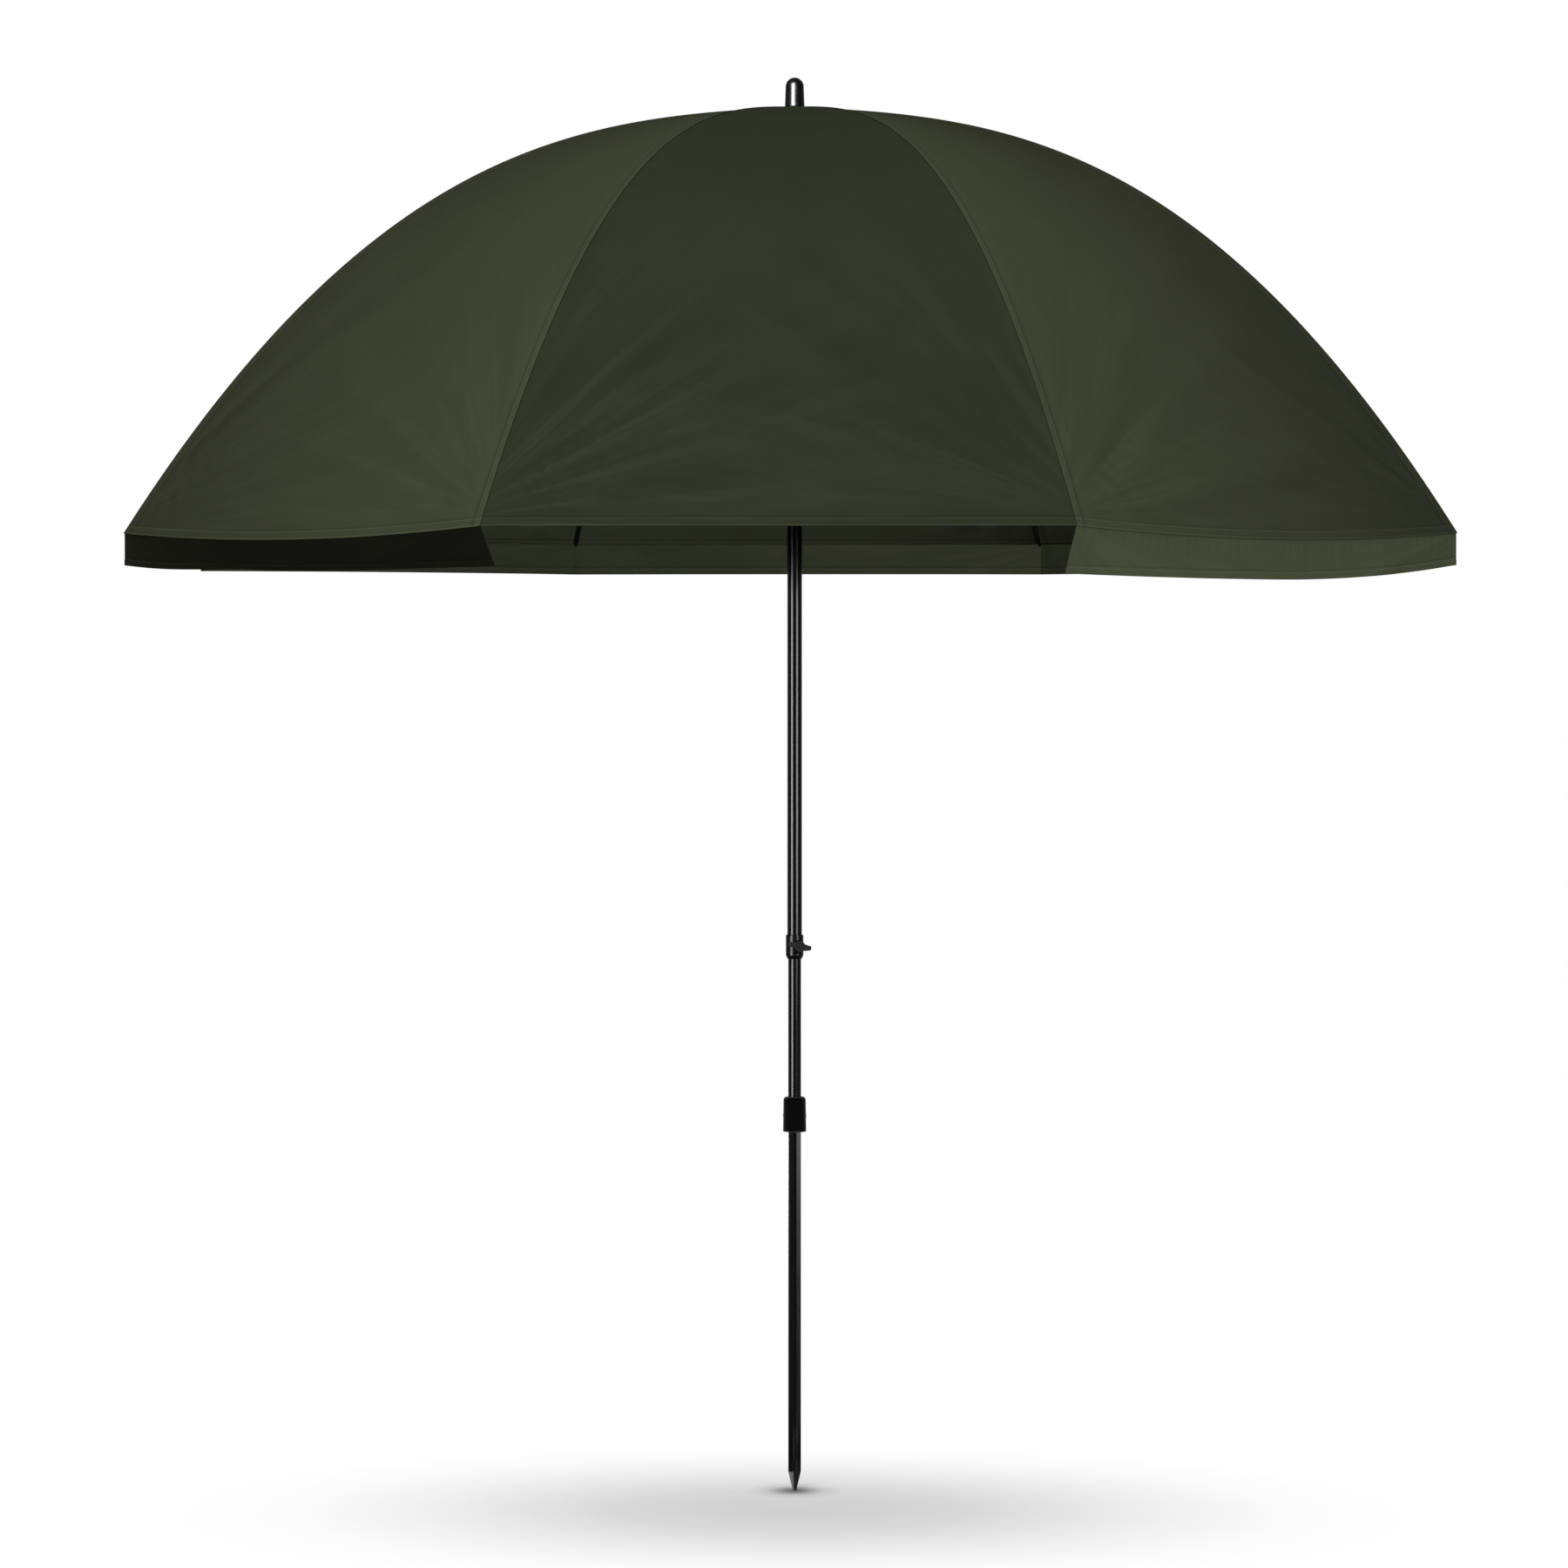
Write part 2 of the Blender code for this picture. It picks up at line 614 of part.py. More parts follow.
def wing_outline():
    """Two offset wings, one the half-turn image of the other, round the hub."""
    tip_centre = (WING_REACH - WING_TIP_RADIUS, -WING_TIP_OFFSET)
    tip = arc(tip_centre, WING_TIP_RADIUS, -math.pi / 2, math.radians(60))
    root = WING_HUB_RADIUS * WING_ROOT_SHARE
    half = [(0, -root), *tip, (WING_HUB_RADIUS, WING_TIP_OFFSET)]
    return half + [(-across, -up) for across, up in half]


def make_wing_screw(carrier):
    """The screw lies along its frame's Z, with the frame's origin on the pole's axis."""
    hub_start = BOSS_REACH + WING_BOSS_GAP
    hub_end = hub_start + WING_HUB_LENGTH
    outline = [
        (0, hub_end - WING_RECESS_DEPTH),
        (WING_RECESS_RADIUS, hub_end - WING_RECESS_DEPTH),
        (WING_RECESS_RADIUS, hub_end),
        (WING_HUB_RADIUS - WING_RECESS_DEPTH / 2, hub_end),
        (WING_HUB_RADIUS, hub_end - WING_RECESS_DEPTH / 2),
        (WING_HUB_RADIUS, hub_start),
        (LOCK_SCREW_RADIUS, hub_start),
        (LOCK_SCREW_RADIUS, LOWER_TUBE_RADIUS + FIT_GAP),
        (0, LOWER_TUBE_RADIUS + FIT_GAP),
    ]
    screw = turned_form("wing_screw_turning", outline, TUBE_SIDES)
    wings = flat_form("wings", wing_outline(), WING_THICKNESS)
    wings.location = (0, 0, hub_end - WING_RECESS_DEPTH - WING_THICKNESS / 2 - FIT_GAP)
    change(screw, wings, "UNION")
    add_part("wing_screw", baked_mesh(screw), "matt_grey_plastic", carrier)


def wheel_slots(name, reach, half_width, low, high):
    """One cutter for eight upright slots round a wheel; reach holds their inner and outer radius."""
    slots = []
    for index in range(PANEL_COUNT):
        slot = box_form(f"{name}_{index}", (reach[0], -half_width, low), (reach[1], half_width, high))
        slot.data.transform(Matrix.Rotation(rib_azimuth(index) - math.pi / 2, 4, "Z"))
        slots.append(slot)
    return join_forms(name, slots)


def rib_azimuth(index):
    return HALF_PANEL + index * PANEL_ANGLE


def panel_azimuth(index):
    return index * PANEL_ANGLE


def eye_slots(name, low, high):
    """The slots in which the eyes of the ribs or the stretchers swing."""
    reach = (HUB_PIVOT[0] - EYE_RADIUS - SLOT_GAP, WHEEL_RADIUS + CUT_OVERRUN)
    return wheel_slots(name, reach, EYE_WIDTH / 2 + SLOT_GAP, low, high)


def make_top_hub(carrier):
    """The notched hub: eight slots, a groove for the wire ring, a spigot and the finial's stud."""
    stud_foot = CROWN_HEIGHT - cloth_drop(HUB_STUD_RADIUS) - CLOTH_THICKNESS - FIT_GAP
    stud_top = stud_foot + HUB_STUD_LENGTH
    spigot = UPPER_TUBE_BORE - FIT_GAP
    groove_top = HUB_PIVOT[1] + GROOVE_HALF_HEIGHT
    groove_bottom = HUB_PIVOT[1] - GROOVE_HALF_HEIGHT
    groove_radius = HUB_PIVOT[0] - GROOVE_HALF_HEIGHT
    outline = [
        (0, stud_top),
        (HUB_STUD_RADIUS, stud_top),
        (HUB_STUD_RADIUS, stud_foot),
        (WHEEL_RADIUS, HUB_TOP),
        (WHEEL_RADIUS, groove_top),
        (groove_radius, groove_top),
        (groove_radius, groove_bottom),
        (WHEEL_RADIUS, groove_bottom),
        (WHEEL_RADIUS, HUB_BOTTOM),
        (spigot, HUB_BOTTOM),
        (spigot, HUB_BOTTOM - HUB_SPIGOT_LENGTH),
        (0, HUB_BOTTOM - HUB_SPIGOT_LENGTH),
    ]
    hub = turned_form("top_hub_turning", outline, WHEEL_SIDES)
    change(hub, eye_slots("hub_slots", HUB_BOTTOM - CUT_OVERRUN, stud_top), "DIFFERENCE")
    add_part("top_hub", baked_mesh(hub), "black_plastic", carrier)


def make_hub_ring(carrier):
    """The wire in the hub's groove, which runs through the eyes of all the ribs."""
    outline = []
    for side in range(RING_SIDES):
        angle = 2 * math.pi * side / RING_SIDES
        across = HUB_PIVOT[0] + RING_WIRE_RADIUS * math.cos(angle)
        outline.append((across, HUB_PIVOT[1] - RING_WIRE_RADIUS * math.sin(angle)))
    ring = turned_form("hub_ring_turning", outline, RING_STEPS, hollow=True)
    add_part("hub_wire_ring", baked_mesh(ring), "zinc_steel", carrier)


def make_top_cap(carrier):
    """The round-topped finial that screws down on the crown of the canopy."""
    base = CROWN_HEIGHT + FIT_GAP
    dome_centre = (0, base + CAP_HEIGHT - CAP_TOP_RADIUS)
    bore = HUB_STUD_RADIUS + FIT_GAP
    bore_top = base + HUB_STUD_LENGTH
    outline = arc(dome_centre, CAP_TOP_RADIUS, math.pi / 2, 0, CAP_ARC_STEPS)
    outline += [(CAP_BASE_RADIUS, base), (bore, base), (bore, bore_top), (0, bore_top)]
    cap = turned_form("top_cap_turning", outline, TUBE_SIDES)
    add_part("top_cap", baked_mesh(cap), "black_plastic", carrier)


def make_crown_patch(carrier):
    """The eight-sided cloth patch between the hub and the finial, with its corners over the ribs."""
    edge = CROWN_PATCH_RADIUS - SEAM_GAP
    hole = (HUB_STUD_RADIUS + FIT_GAP) / math.cos(HALF_PANEL)
    edge_height = CROWN_HEIGHT - cloth_drop(edge)
    hole_height = CROWN_HEIGHT - cloth_drop(hole)
    outline = [
        (edge, edge_height),
        (edge, edge_height - CLOTH_THICKNESS),
        (hole, hole_height - CLOTH_THICKNESS),
        (hole, hole_height),
    ]
    patch = turned_form("crown_patch_turning", outline, PANEL_COUNT, hollow=True)
    patch.data.transform(Matrix.Rotation(HALF_PANEL, 4, "Z"))
    add_part("crown_patch", baked_mesh(patch), "canopy_cloth", carrier)


def make_runner(carrier):
    """The sliding sleeve with grip rings and, on top, a wheel with a T-shaped notch for each stretcher."""
    height = RUNNER_PIVOT[1]
    top = height + RUNNER_WHEEL_HEIGHT / 2
    bottom = height - RUNNER_WHEEL_HEIGHT / 2
    bore = UPPER_TUBE_RADIUS + FIT_GAP
    outline = [
        (RUNNER_SLEEVE_RADIUS, top + RUNNER_NECK_HEIGHT),
        (RUNNER_SLEEVE_RADIUS, top),
        (WHEEL_RADIUS, top),
        (WHEEL_RADIUS, bottom),
        (RUNNER_SLEEVE_RADIUS, bottom),
    ]
    for ring in range(RUNNER_GRIP_COUNT):
        middle = bottom - RUNNER_GRIP_PITCH * (ring + 1)
        outline += [
            (RUNNER_SLEEVE_RADIUS, middle + RUNNER_GRIP_PITCH / 4),
            (RUNNER_SLEEVE_RADIUS + RUNNER_GRIP_DEPTH, middle),
            (RUNNER_SLEEVE_RADIUS, middle - RUNNER_GRIP_PITCH / 4),
        ]
    outline += [
        (RUNNER_SLEEVE_RADIUS, RUNNER_BOTTOM),
        (bore, RUNNER_BOTTOM),
        (bore, top + RUNNER_NECK_HEIGHT),
    ]
    runner = turned_form("runner_turning", outline, WHEEL_SIDES, hollow=True)
    low, high = bottom - CUT_OVERRUN, top + CUT_OVERRUN
    change(runner, eye_slots("runner_slots", low, high), "DIFFERENCE")
    pin_space = CROSS_PIN_RADIUS + SLOT_GAP
    reach = (RUNNER_PIVOT[0] - pin_space, RUNNER_PIVOT[0] + pin_space)
    pin_slots = wheel_slots("runner_pin_slots", reach, CROSS_PIN_HALF_LENGTH + SLOT_GAP, low, high)
    change(runner, pin_slots, "DIFFERENCE")
    add_part("runner", baked_mesh(runner), "black_plastic", carrier)


def make_runner_catch(carrier):
    """A leaf spring inside the tube, with a nose that stands out below the runner."""
    leaf_outer = UPPER_TUBE_BORE - CATCH_LEAF_INSET
    leaf_inner = leaf_outer - CATCH_LEAF_THICKNESS
    nose_reach = UPPER_TUBE_RADIUS + CATCH_NOSE_REACH
    nose_top = RUNNER_BOTTOM - FIT_GAP
    nose_bottom = nose_top - CATCH_NOSE_HEIGHT
    leaf_top = nose_top + (CATCH_LEAF_LENGTH - CATCH_NOSE_HEIGHT) / 2
    leaf_bottom = leaf_top - CATCH_LEAF_LENGTH
    outline = [
        (leaf_inner, leaf_top),
        (leaf_inner, leaf_bottom),
        (leaf_outer, leaf_bottom),
        (leaf_outer, nose_bottom),
        (UPPER_TUBE_BORE, nose_bottom),
        (nose_reach, nose_top - CATCH_NOSE_HEIGHT / 4),
        (nose_reach, nose_top),
        (leaf_outer, nose_top),
        (leaf_outer, leaf_top),
    ]
    catch = flat_form("catch_side", outline, CATCH_WIDTH)
    catch.data.transform(Matrix.Rotation(math.pi / 2, 4, "X"))
    mesh = baked_mesh(catch)
    mesh.transform(Matrix.Translation((-UPPER_TUBE_RADIUS, 0, -nose_top)))
    add_part("runner_catch", mesh, "spring_steel", carrier)


def in_rib_plane(point):
    """A point of a rib's plane, from its hub pivot."""
    return point[0] - HUB_PIVOT[0], point[1] - HUB_PIVOT[1]


def cross_rod(name, point, radius, half_width, sides=SMALL_SIDES):
    """A cylinder square to a rib's plane."""
    out, up = point
    return rod_form(name, radius, (out, -half_width, up), (out, half_width, up), sides)


def rib_line():
    """The rib's axis, from the hub's pivot to its end, with the same bends as the cloth above it."""
    points = [Vector((0, 0))]
    for radius in cloth_stations():
        if radius > RIB_HINGE_RADIUS:
            points.append(Vector(in_rib_plane(under_cloth(radius, RIB_DEPTH))))
    points[-1] -= (points[-1] - points[-2]).normalized() * RIB_END_BACK
    return points


def rib_end_direction():
    """The direction of the rib's last straight, outwards and down."""
    before, last = rib_line()[-2:]
    return (last - before).normalized()


def rib_mesh():
    """A curved rod with an eye at the hub and a saddle with a drilled tab for the stretcher."""
    points = rib_line()
    rib = bar_form("rib_rod", points, RIB_RADIUS)
    change(rib, cross_rod("rib_eye", (0, 0), EYE_RADIUS, EYE_WIDTH / 2), "UNION")
    seat = in_rib_plane(under_cloth(RIB_JOINT_RADIUS, RIB_DEPTH))
    slope = cloth_slope(RIB_JOINT_RADIUS)
    half_length, half_width = SADDLE_LENGTH / 2, SADDLE_WIDTH / 2
    saddle = box_form(
        "rib_saddle",
        (-half_length, -half_width, -SADDLE_BELOW),
        (half_length, half_width, SADDLE_ABOVE),
    )
    rounding = saddle.modifiers.new("rounding", "BEVEL")
    rounding.width = SADDLE_ROUND
    rounding.segments = 1
    tab = flat_form("rib_tab", tab_outline(), TAB_THICKNESS)
    tab.data.transform(Matrix.Rotation(math.pi / 2, 4, "X"))
    for form in (saddle, tab):
        form.location = (seat[0], 0, seat[1])
        form.rotation_euler = (0, slope, 0)
        change(rib, form, "UNION")
    joint = in_rib_plane(RIB_JOINT)
    change(rib, cross_rod("rib_rivet_hole", joint, RIVET_HOLE_RADIUS, SADDLE_WIDTH), "DIFFERENCE")
    change(rib, cross_rod("rib_eye_hole", (0, 0), EYE_HOLE_RADIUS, EYE_WIDTH), "DIFFERENCE")
    end, along = points[-1], rib_end_direction()
    inner = end - along * (TIP_STUB_LENGTH + FIT_GAP)
    outer = end + along * CUT_OVERRUN
    socket_radius = TIP_STUB_RADIUS + FIT_GAP
    socket_ends = (inner[0], 0, inner[1]), (outer[0], 0, outer[1])
    socket = rod_form("tip_socket", socket_radius, *socket_ends, PIN_SIDES)
    change(rib, socket, "DIFFERENCE")
    return baked_mesh(rib)


def tab_outline():
    """The stretcher tab under the saddle, round about its rivet hole."""
    round_end = arc((0, -TAB_DROP), TAB_RADIUS, math.pi, 2 * math.pi)
    return [(-TAB_RADIUS, -SADDLE_BELOW / 2), *round_end, (TAB_RADIUS, -SADDLE_BELOW / 2)]


def rib_tip_mesh():
    """The plastic tip in the end of a rib: a stub, and a head that tapers to a round nose."""
    nose_centre = (0, TIP_HEAD_LENGTH - TIP_NOSE_RADIUS)
    outline = arc(nose_centre, TIP_NOSE_RADIUS, math.pi / 2, 0, steps=2)
    outline += [
        (RIB_RADIUS, FIT_GAP),
        (TIP_STUB_RADIUS, FIT_GAP),
        (TIP_STUB_RADIUS, -TIP_STUB_LENGTH),
        (0, -TIP_STUB_LENGTH),
    ]
    tip = turned_form("rib_tip_turning", outline, PIN_SIDES)
    end, along = rib_line()[-1], rib_end_direction()
    mesh = baked_mesh(tip)
    lie_down = Matrix.Rotation(math.atan2(along[0], along[1]), 4, "Y")
    mesh.transform(Matrix.Translation((end[0], 0, end[1])) @ lie_down)
    return mesh


def stretcher_mesh():
    """A rod with a cross-pinned lower end and a riveted fork, in its rib's plane, from the rib joint."""
    rib_joint = Vector(in_rib_plane(RIB_JOINT))
    lower_end = Vector(in_rib_plane(RUNNER_PIVOT)) - rib_joint
    along = -lower_end.normalized()
    rod_end = -along * (FORK_SLOT_DEPTH + FORK_CHEEK)
    stretcher = bar_form("stretcher_rod", [lower_end, rod_end], STRETCHER_RADIUS)
    change(stretcher, cross_rod("stretcher_knuckle", lower_end, EYE_RADIUS, EYE_WIDTH / 2), "UNION")
    pin = cross_rod("cross_pin", lower_end, CROSS_PIN_RADIUS, CROSS_PIN_HALF_LENGTH, PIN_SIDES)
    change(stretcher, pin, "UNION")
    slot_half_width = TAB_THICKNESS / 2 + SLOT_GAP
    fork = flat_form("stretcher_fork", fork_outline(), 2 * (slot_half_width + FORK_CHEEK))
    fork.data.transform(Matrix.Rotation(math.pi / 2, 4, "X"))
    fork.rotation_euler = (0, -math.atan2(along[1], along[0]), 0)
    change(stretcher, fork, "UNION")
    slot = box_form(
        "fork_slot",
        (-FORK_SLOT_DEPTH, -slot_half_width, -2 * FORK_RADIUS),
        (2 * FORK_RADIUS, slot_half_width, 2 * FORK_RADIUS),
    )
    slot.rotation_euler = fork.rotation_euler
    change(stretcher, slot, "DIFFERENCE")
    rivet = cross_rod("fork_rivet", (0, 0), RIVET_RADIUS, slot_half_width + FORK_CHEEK / 2, PIN_SIDES)
    change(stretcher, rivet, "UNION")
    return baked_mesh(stretcher)


def fork_outline():
    """The fork from the side: round about the rivet, tapering back onto the rod."""
    round_end = arc((0, 0), FORK_RADIUS, -math.pi / 2, math.pi / 2)
    back = -FORK_LENGTH
    return [(back, -STRETCHER_RADIUS * 1.2), *round_end, (back, STRETCHER_RADIUS * 1.2)]


def hem_bow(row_share, across):
    """How much further out the cloth reaches between the ribs, near a bowed hem."""
    ramp = max(0.0, (row_share - HEM_BOW_START_SHARE) / (1 - HEM_BOW_START_SHARE))
    return HEM_BOW * ramp * ramp * (1 - across * across)


def sag(radius, across):
    """How far the taut cloth sinks between the ribs, most of all halfway from the crown to the hem."""
    share = (radius - CROWN_PATCH_RADIUS) / (RIM_RADIUS - CROWN_PATCH_RADIUS)
    return SAG_DEPTH * 4 * share * (1 - share) * (1 - across * across)


def cloth_point(radius, across, bow):
    """A point of a panel's outer face. Across runs from -1 at one rib to 1 at the next."""
    side = across * (radius * math.sin(HALF_PANEL) - SEAM_GAP / 2)
    reach = radius + bow
    height = CROWN_HEIGHT - cloth_drop(reach) - sag(radius, across)
    return reach * math.cos(HALF_PANEL), side, height


def panel_hinge():
    """Where a panel's frame sits: on the line through the pivots of its two ribs."""
    return HUB_PIVOT[0] * math.cos(HALF_PANEL), HUB_PIVOT[1]


def cloth_solid(name, columns, rows, place):
    """A grid moved into shape by a rule and given the cloth's thickness on its inner side."""
    builder = bmesh.new()
    bmesh.ops.create_grid(builder, x_segments=columns, y_segments=rows, size=1)
    hinge_out, hinge_up = panel_hinge()
    for vertex in builder.verts:
        across, row_share = vertex.co.x, (vertex.co.y + 1) / 2
        out, side, up = place(across, row_share)
        vertex.co = (out - hinge_out, side, up - hinge_up)
    bmesh.ops.recalc_face_normals(builder, faces=builder.faces)
    if sum(face.normal.x + face.normal.z for face in builder.faces) < 0:
        bmesh.ops.reverse_faces(builder, faces=builder.faces)
    cloth = form_object(name, mesh_from(builder))
    thickening = cloth.modifiers.new("thickness", "SOLIDIFY")
    thickening.thickness = CLOTH_THICKNESS
    thickening.offset = -1
    return baked_mesh(cloth)


def panel_mesh(name, bowed):
    """One gore of the canopy, curved along the ribs and sunk a little between them."""

    def place(across, row_share):
        radius = CROWN_PATCH_RADIUS + (RIM_RADIUS - CROWN_PATCH_RADIUS) * row_share
        bow = hem_bow(row_share, across) if bowed else 0
        return cloth_point(radius, across, bow)

    return cloth_solid(name, PANEL_COLUMN_COUNT, PANEL_ROW_COUNT, place)


def skirt_mesh(name, bowed, open_side):
    """One skirt strip. The open side, -1 or 1, ends beside the front panel in a slanted edge."""

    def place(across, row_share):
        bow = hem_bow(1, across) if bowed else 0
        out, side, up = cloth_point(RIM_RADIUS, across, bow)
        towards_front = max(0.0, across * open_side)
        length = SKIRT_HEIGHT + SKIRT_FRONT_EXTRA * towards_front**2
        if bowed:
            length += SKIRT_MIDDLE_EXTRA * (1 - across * across)
        down = row_share * length
        ease = towards_front**2 * row_share
        out -= SKIRT_FRONT_LEAN * ease
        side += SKIRT_FRONT_SLANT * open_side * ease
        return out, side, up - CLOTH_THICKNESS - down

    return cloth_solid(name, SKIRT_COLUMN_COUNT, SKIRT_ROW_COUNT, place)


def make_pole():
    """Everything that stands in the ground."""
    carrier = add_frame("lower_pole_frame", (0, 0, 0))
    make_ground_spike(carrier)
    make_spike_collar(carrier)
    make_collar_pin(carrier)
    make_lower_tube(carrier)
    make_guide_plug(carrier)
    return carrier


def make_upper_pole(lower_pole):
    """Everything that slides on the lower tube and doesn't fold."""
    carrier = add_frame("upper_pole_frame", (0, 0, 0), parent=lower_pole)
    make_upper_tube(carrier)
    make_lock_collar(carrier)
    make_lock_nut(carrier)
    make_top_hub(carrier)
    make_hub_ring(carrier)
    make_top_cap(carrier)
    make_crown_patch(carrier)
    screw_axis = add_frame("wing_screw_axis", (0, 0, LOCK_SCREW_HEIGHT), parent=carrier)
    screw_axis.rotation_euler = (math.pi / 2, 0, LOCK_SCREW_AZIMUTH)
    make_wing_screw(screw_axis)
    catch_place = (UPPER_TUBE_RADIUS, RUNNER_BOTTOM - FIT_GAP, CATCH_AZIMUTH)
    catch_frame = radial_frame("runner_catch_frame", *catch_place, parent=carrier)
    make_runner_catch(catch_frame)
    return carrier


def make_runner_group(upper_pole):
    carrier = add_frame("runner_frame", (0, 0, 0), parent=upper_pole)
    make_runner(carrier)


def make_ribs_and_stretchers(upper_pole):
    rib, tip, stretcher = rib_mesh(), rib_tip_mesh(), stretcher_mesh()
    joint_out, joint_up = in_rib_plane(RIB_JOINT)
    for index in range(PANEL_COUNT):
        number = index + 1
        hinge = radial_frame(f"rib_{number}_hinge", *HUB_PIVOT, rib_azimuth(index), parent=upper_pole)
        add_part(f"rib_{number}", rib, "fibreglass_rod", hinge)
        add_part(f"rib_tip_{number}", tip, "black_plastic", hinge)
        joint = add_frame(f"stretcher_{number}_joint", (joint_out, 0, joint_up), parent=hinge)
        add_part(f"stretcher_{number}", stretcher, "black_steel", joint)


def make_canopy(upper_pole):
    """Panel 1 is the front one, without a skirt, and its two neighbours have bowed hems."""
    straight = panel_mesh("straight_panel", bowed=False)
    bowed = panel_mesh("bowed_panel", bowed=True)
    open_sides = {1: -1, PANEL_COUNT - 1: 1}
    for index in range(PANEL_COUNT):
        number = index + 1
        hinge = radial_frame(f"panel_{number}_hinge", *panel_hinge(), panel_azimuth(index), parent=upper_pole)
        is_bowed = index in open_sides
        add_part(f"canopy_panel_{number}", bowed if is_bowed else straight, "canopy_cloth", hinge)
        if index > 0:
            skirt = skirt_mesh(f"skirt_strip_{number}", is_bowed, open_sides.get(index, 0))
            add_part(f"skirt_{number}", skirt, "canopy_cloth", hinge)


def main():
    lower_pole = make_pole()
    upper_pole = make_upper_pole(lower_pole)
    make_runner_group(upper_pole)
    make_ribs_and_stretchers(upper_pole)
    make_canopy(upper_pole)
    bpy.context.view_layer.update()


main()
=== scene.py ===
"""Looks for the fishing umbrella: sewn canopy, skirt, poles, collars, wing screw and spike.

Metres, +Z up, front towards -Y, as in the frame. An azimuth turns from the front towards the right.
"""

import json
import math
from functools import partial

import bmesh
import bpy
from mathutils import Matrix, Vector

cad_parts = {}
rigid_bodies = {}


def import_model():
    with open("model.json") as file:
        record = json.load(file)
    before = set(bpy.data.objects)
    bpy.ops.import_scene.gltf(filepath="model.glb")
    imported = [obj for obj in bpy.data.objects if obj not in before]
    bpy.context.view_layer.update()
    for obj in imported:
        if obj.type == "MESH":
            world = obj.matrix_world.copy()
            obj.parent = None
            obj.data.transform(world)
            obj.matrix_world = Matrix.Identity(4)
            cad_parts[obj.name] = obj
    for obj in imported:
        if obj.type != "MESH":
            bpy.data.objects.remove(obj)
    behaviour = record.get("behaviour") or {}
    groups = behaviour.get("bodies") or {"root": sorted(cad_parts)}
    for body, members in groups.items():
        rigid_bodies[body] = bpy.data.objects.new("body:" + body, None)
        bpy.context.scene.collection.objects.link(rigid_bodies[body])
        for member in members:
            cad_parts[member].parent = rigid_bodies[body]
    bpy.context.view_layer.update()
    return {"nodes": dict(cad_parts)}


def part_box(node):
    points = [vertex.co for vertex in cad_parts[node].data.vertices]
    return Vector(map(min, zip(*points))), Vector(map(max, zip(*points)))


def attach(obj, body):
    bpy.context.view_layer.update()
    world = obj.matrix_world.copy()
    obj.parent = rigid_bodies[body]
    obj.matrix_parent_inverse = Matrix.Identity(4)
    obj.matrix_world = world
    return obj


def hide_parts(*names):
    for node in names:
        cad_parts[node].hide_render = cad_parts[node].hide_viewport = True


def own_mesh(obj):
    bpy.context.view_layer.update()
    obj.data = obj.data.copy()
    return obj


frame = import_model()

# The canopy's shape, as the solids have it; panel 0 is at the front, and 1 to its right
RIM_RADIUS = 1.0600
CROWN_HEIGHT = 2.1460
CANOPY_DROP = 0.6650
# Shares of the drop that grow with the radius, its cube and its fourth power
CANOPY_DROP_SHARES = (0.137, 1.144, -0.281)
PANEL_COUNT = 8
HALF_PANEL = math.pi / PANEL_COUNT
HALF_HEM = RIM_RADIUS * math.sin(HALF_PANEL)
INNER_RADIUS = 0.0375
HINGE_RADIUS = 0.02950
HINGE_HEIGHT = 2.13773
SAG_DEPTH = 0.0060
# How round the taut cloth shades between its seams, as a share of its half width
SHADED_FULLNESS = 0.200
HEM_BOW = 0.0090
HEM_BOW_START_SHARE = 0.70
CLOTH_THICKNESS = 0.0007
PANEL_FOLD = math.radians(52)

# A panel is cut into bands
BAND_COUNT = 22
BAND_SPREAD = 1.15
BAND_RADII = tuple(
    INNER_RADIUS + (RIM_RADIUS - INNER_RADIUS) * (number / BAND_COUNT) ** BAND_SPREAD
    for number in range(BAND_COUNT)
) + (RIM_RADIUS,)
ROWS_PER_BAND = 4
COLUMNS_BETWEEN_SEAMS = 38

# Drag lines from the lower corners: (corner, reach), and waves of (share, number per radian,
# shift per panel, per corner, per metre)
FOLD_DEPTH = 0.021
FOLD_REACHES = ((-1, 0.24), (1, 0.15))
FOLD_WAVES = ((1.0, 19, 1.7, 0.6, 1.4), (0.55, 31, 2.9, -1.0, 2.1))
FOLD_STRENGTH = 0.8
FRONT_FOLD_STRENGTH = 1.5

# Skirt
SKIRT_HEIGHT = 0.0460
SKIRT_MIDDLE_EXTRA = 0.0100
SKIRT_FRONT_EXTRA = 0.0180
# How far the free ends' lower corners lie beyond their upper ones, and how far they lean in
SKIRT_SLANTS = {1: 0.0080, 7: -0.0280}
SKIRT_FRONT_LEAN = 0.0140
SKIRT_THICKNESS = 0.0006
SKIRT_TUCK = 0.0070
# How far each panel's strip swings in under the hem
SKIRT_SWINGS = (0.0, 0.0, 0.002, 0.004, 0.006, 0.010, 0.022, 0.036)
SKIRT_COLUMNS = 97
SKIRT_ROWS = (0, 0.04, 0.08, 0.14, 0.22, 0.32, 0.44, 0.56, 0.68, 0.77, 0.79, 0.81, 0.83, 0.9, 1.0)
GATHER_DEPTH = 0.0006
WAVE_DEPTH = 0.0014
SKIRT_EDGE_RISE = 0.0005
# The skirt's share of the width that the cloth keeps when shut
SKIRT_FOLDED_SHARE = 0.80

# Sewing. Each panel is laid out flat beside the last one, and every second one has no seam
UV_STEP = 2.0
NO_SEAM = 1.0
SEAM_WIDTH = 0.0130
SEAM_RISE = 0.0009
SEAM_LAP = 0.0005
HEM_WIDTH = 0.0150
HEM_RISE = 0.0009
SEAM_STITCHES = (0.0025, 0.0105)
HEM_STITCHES = 0.0125
STITCH_PITCH = 0.0034
STITCH_SHARE = 0.72
THREAD_RADIUS = 0.00055

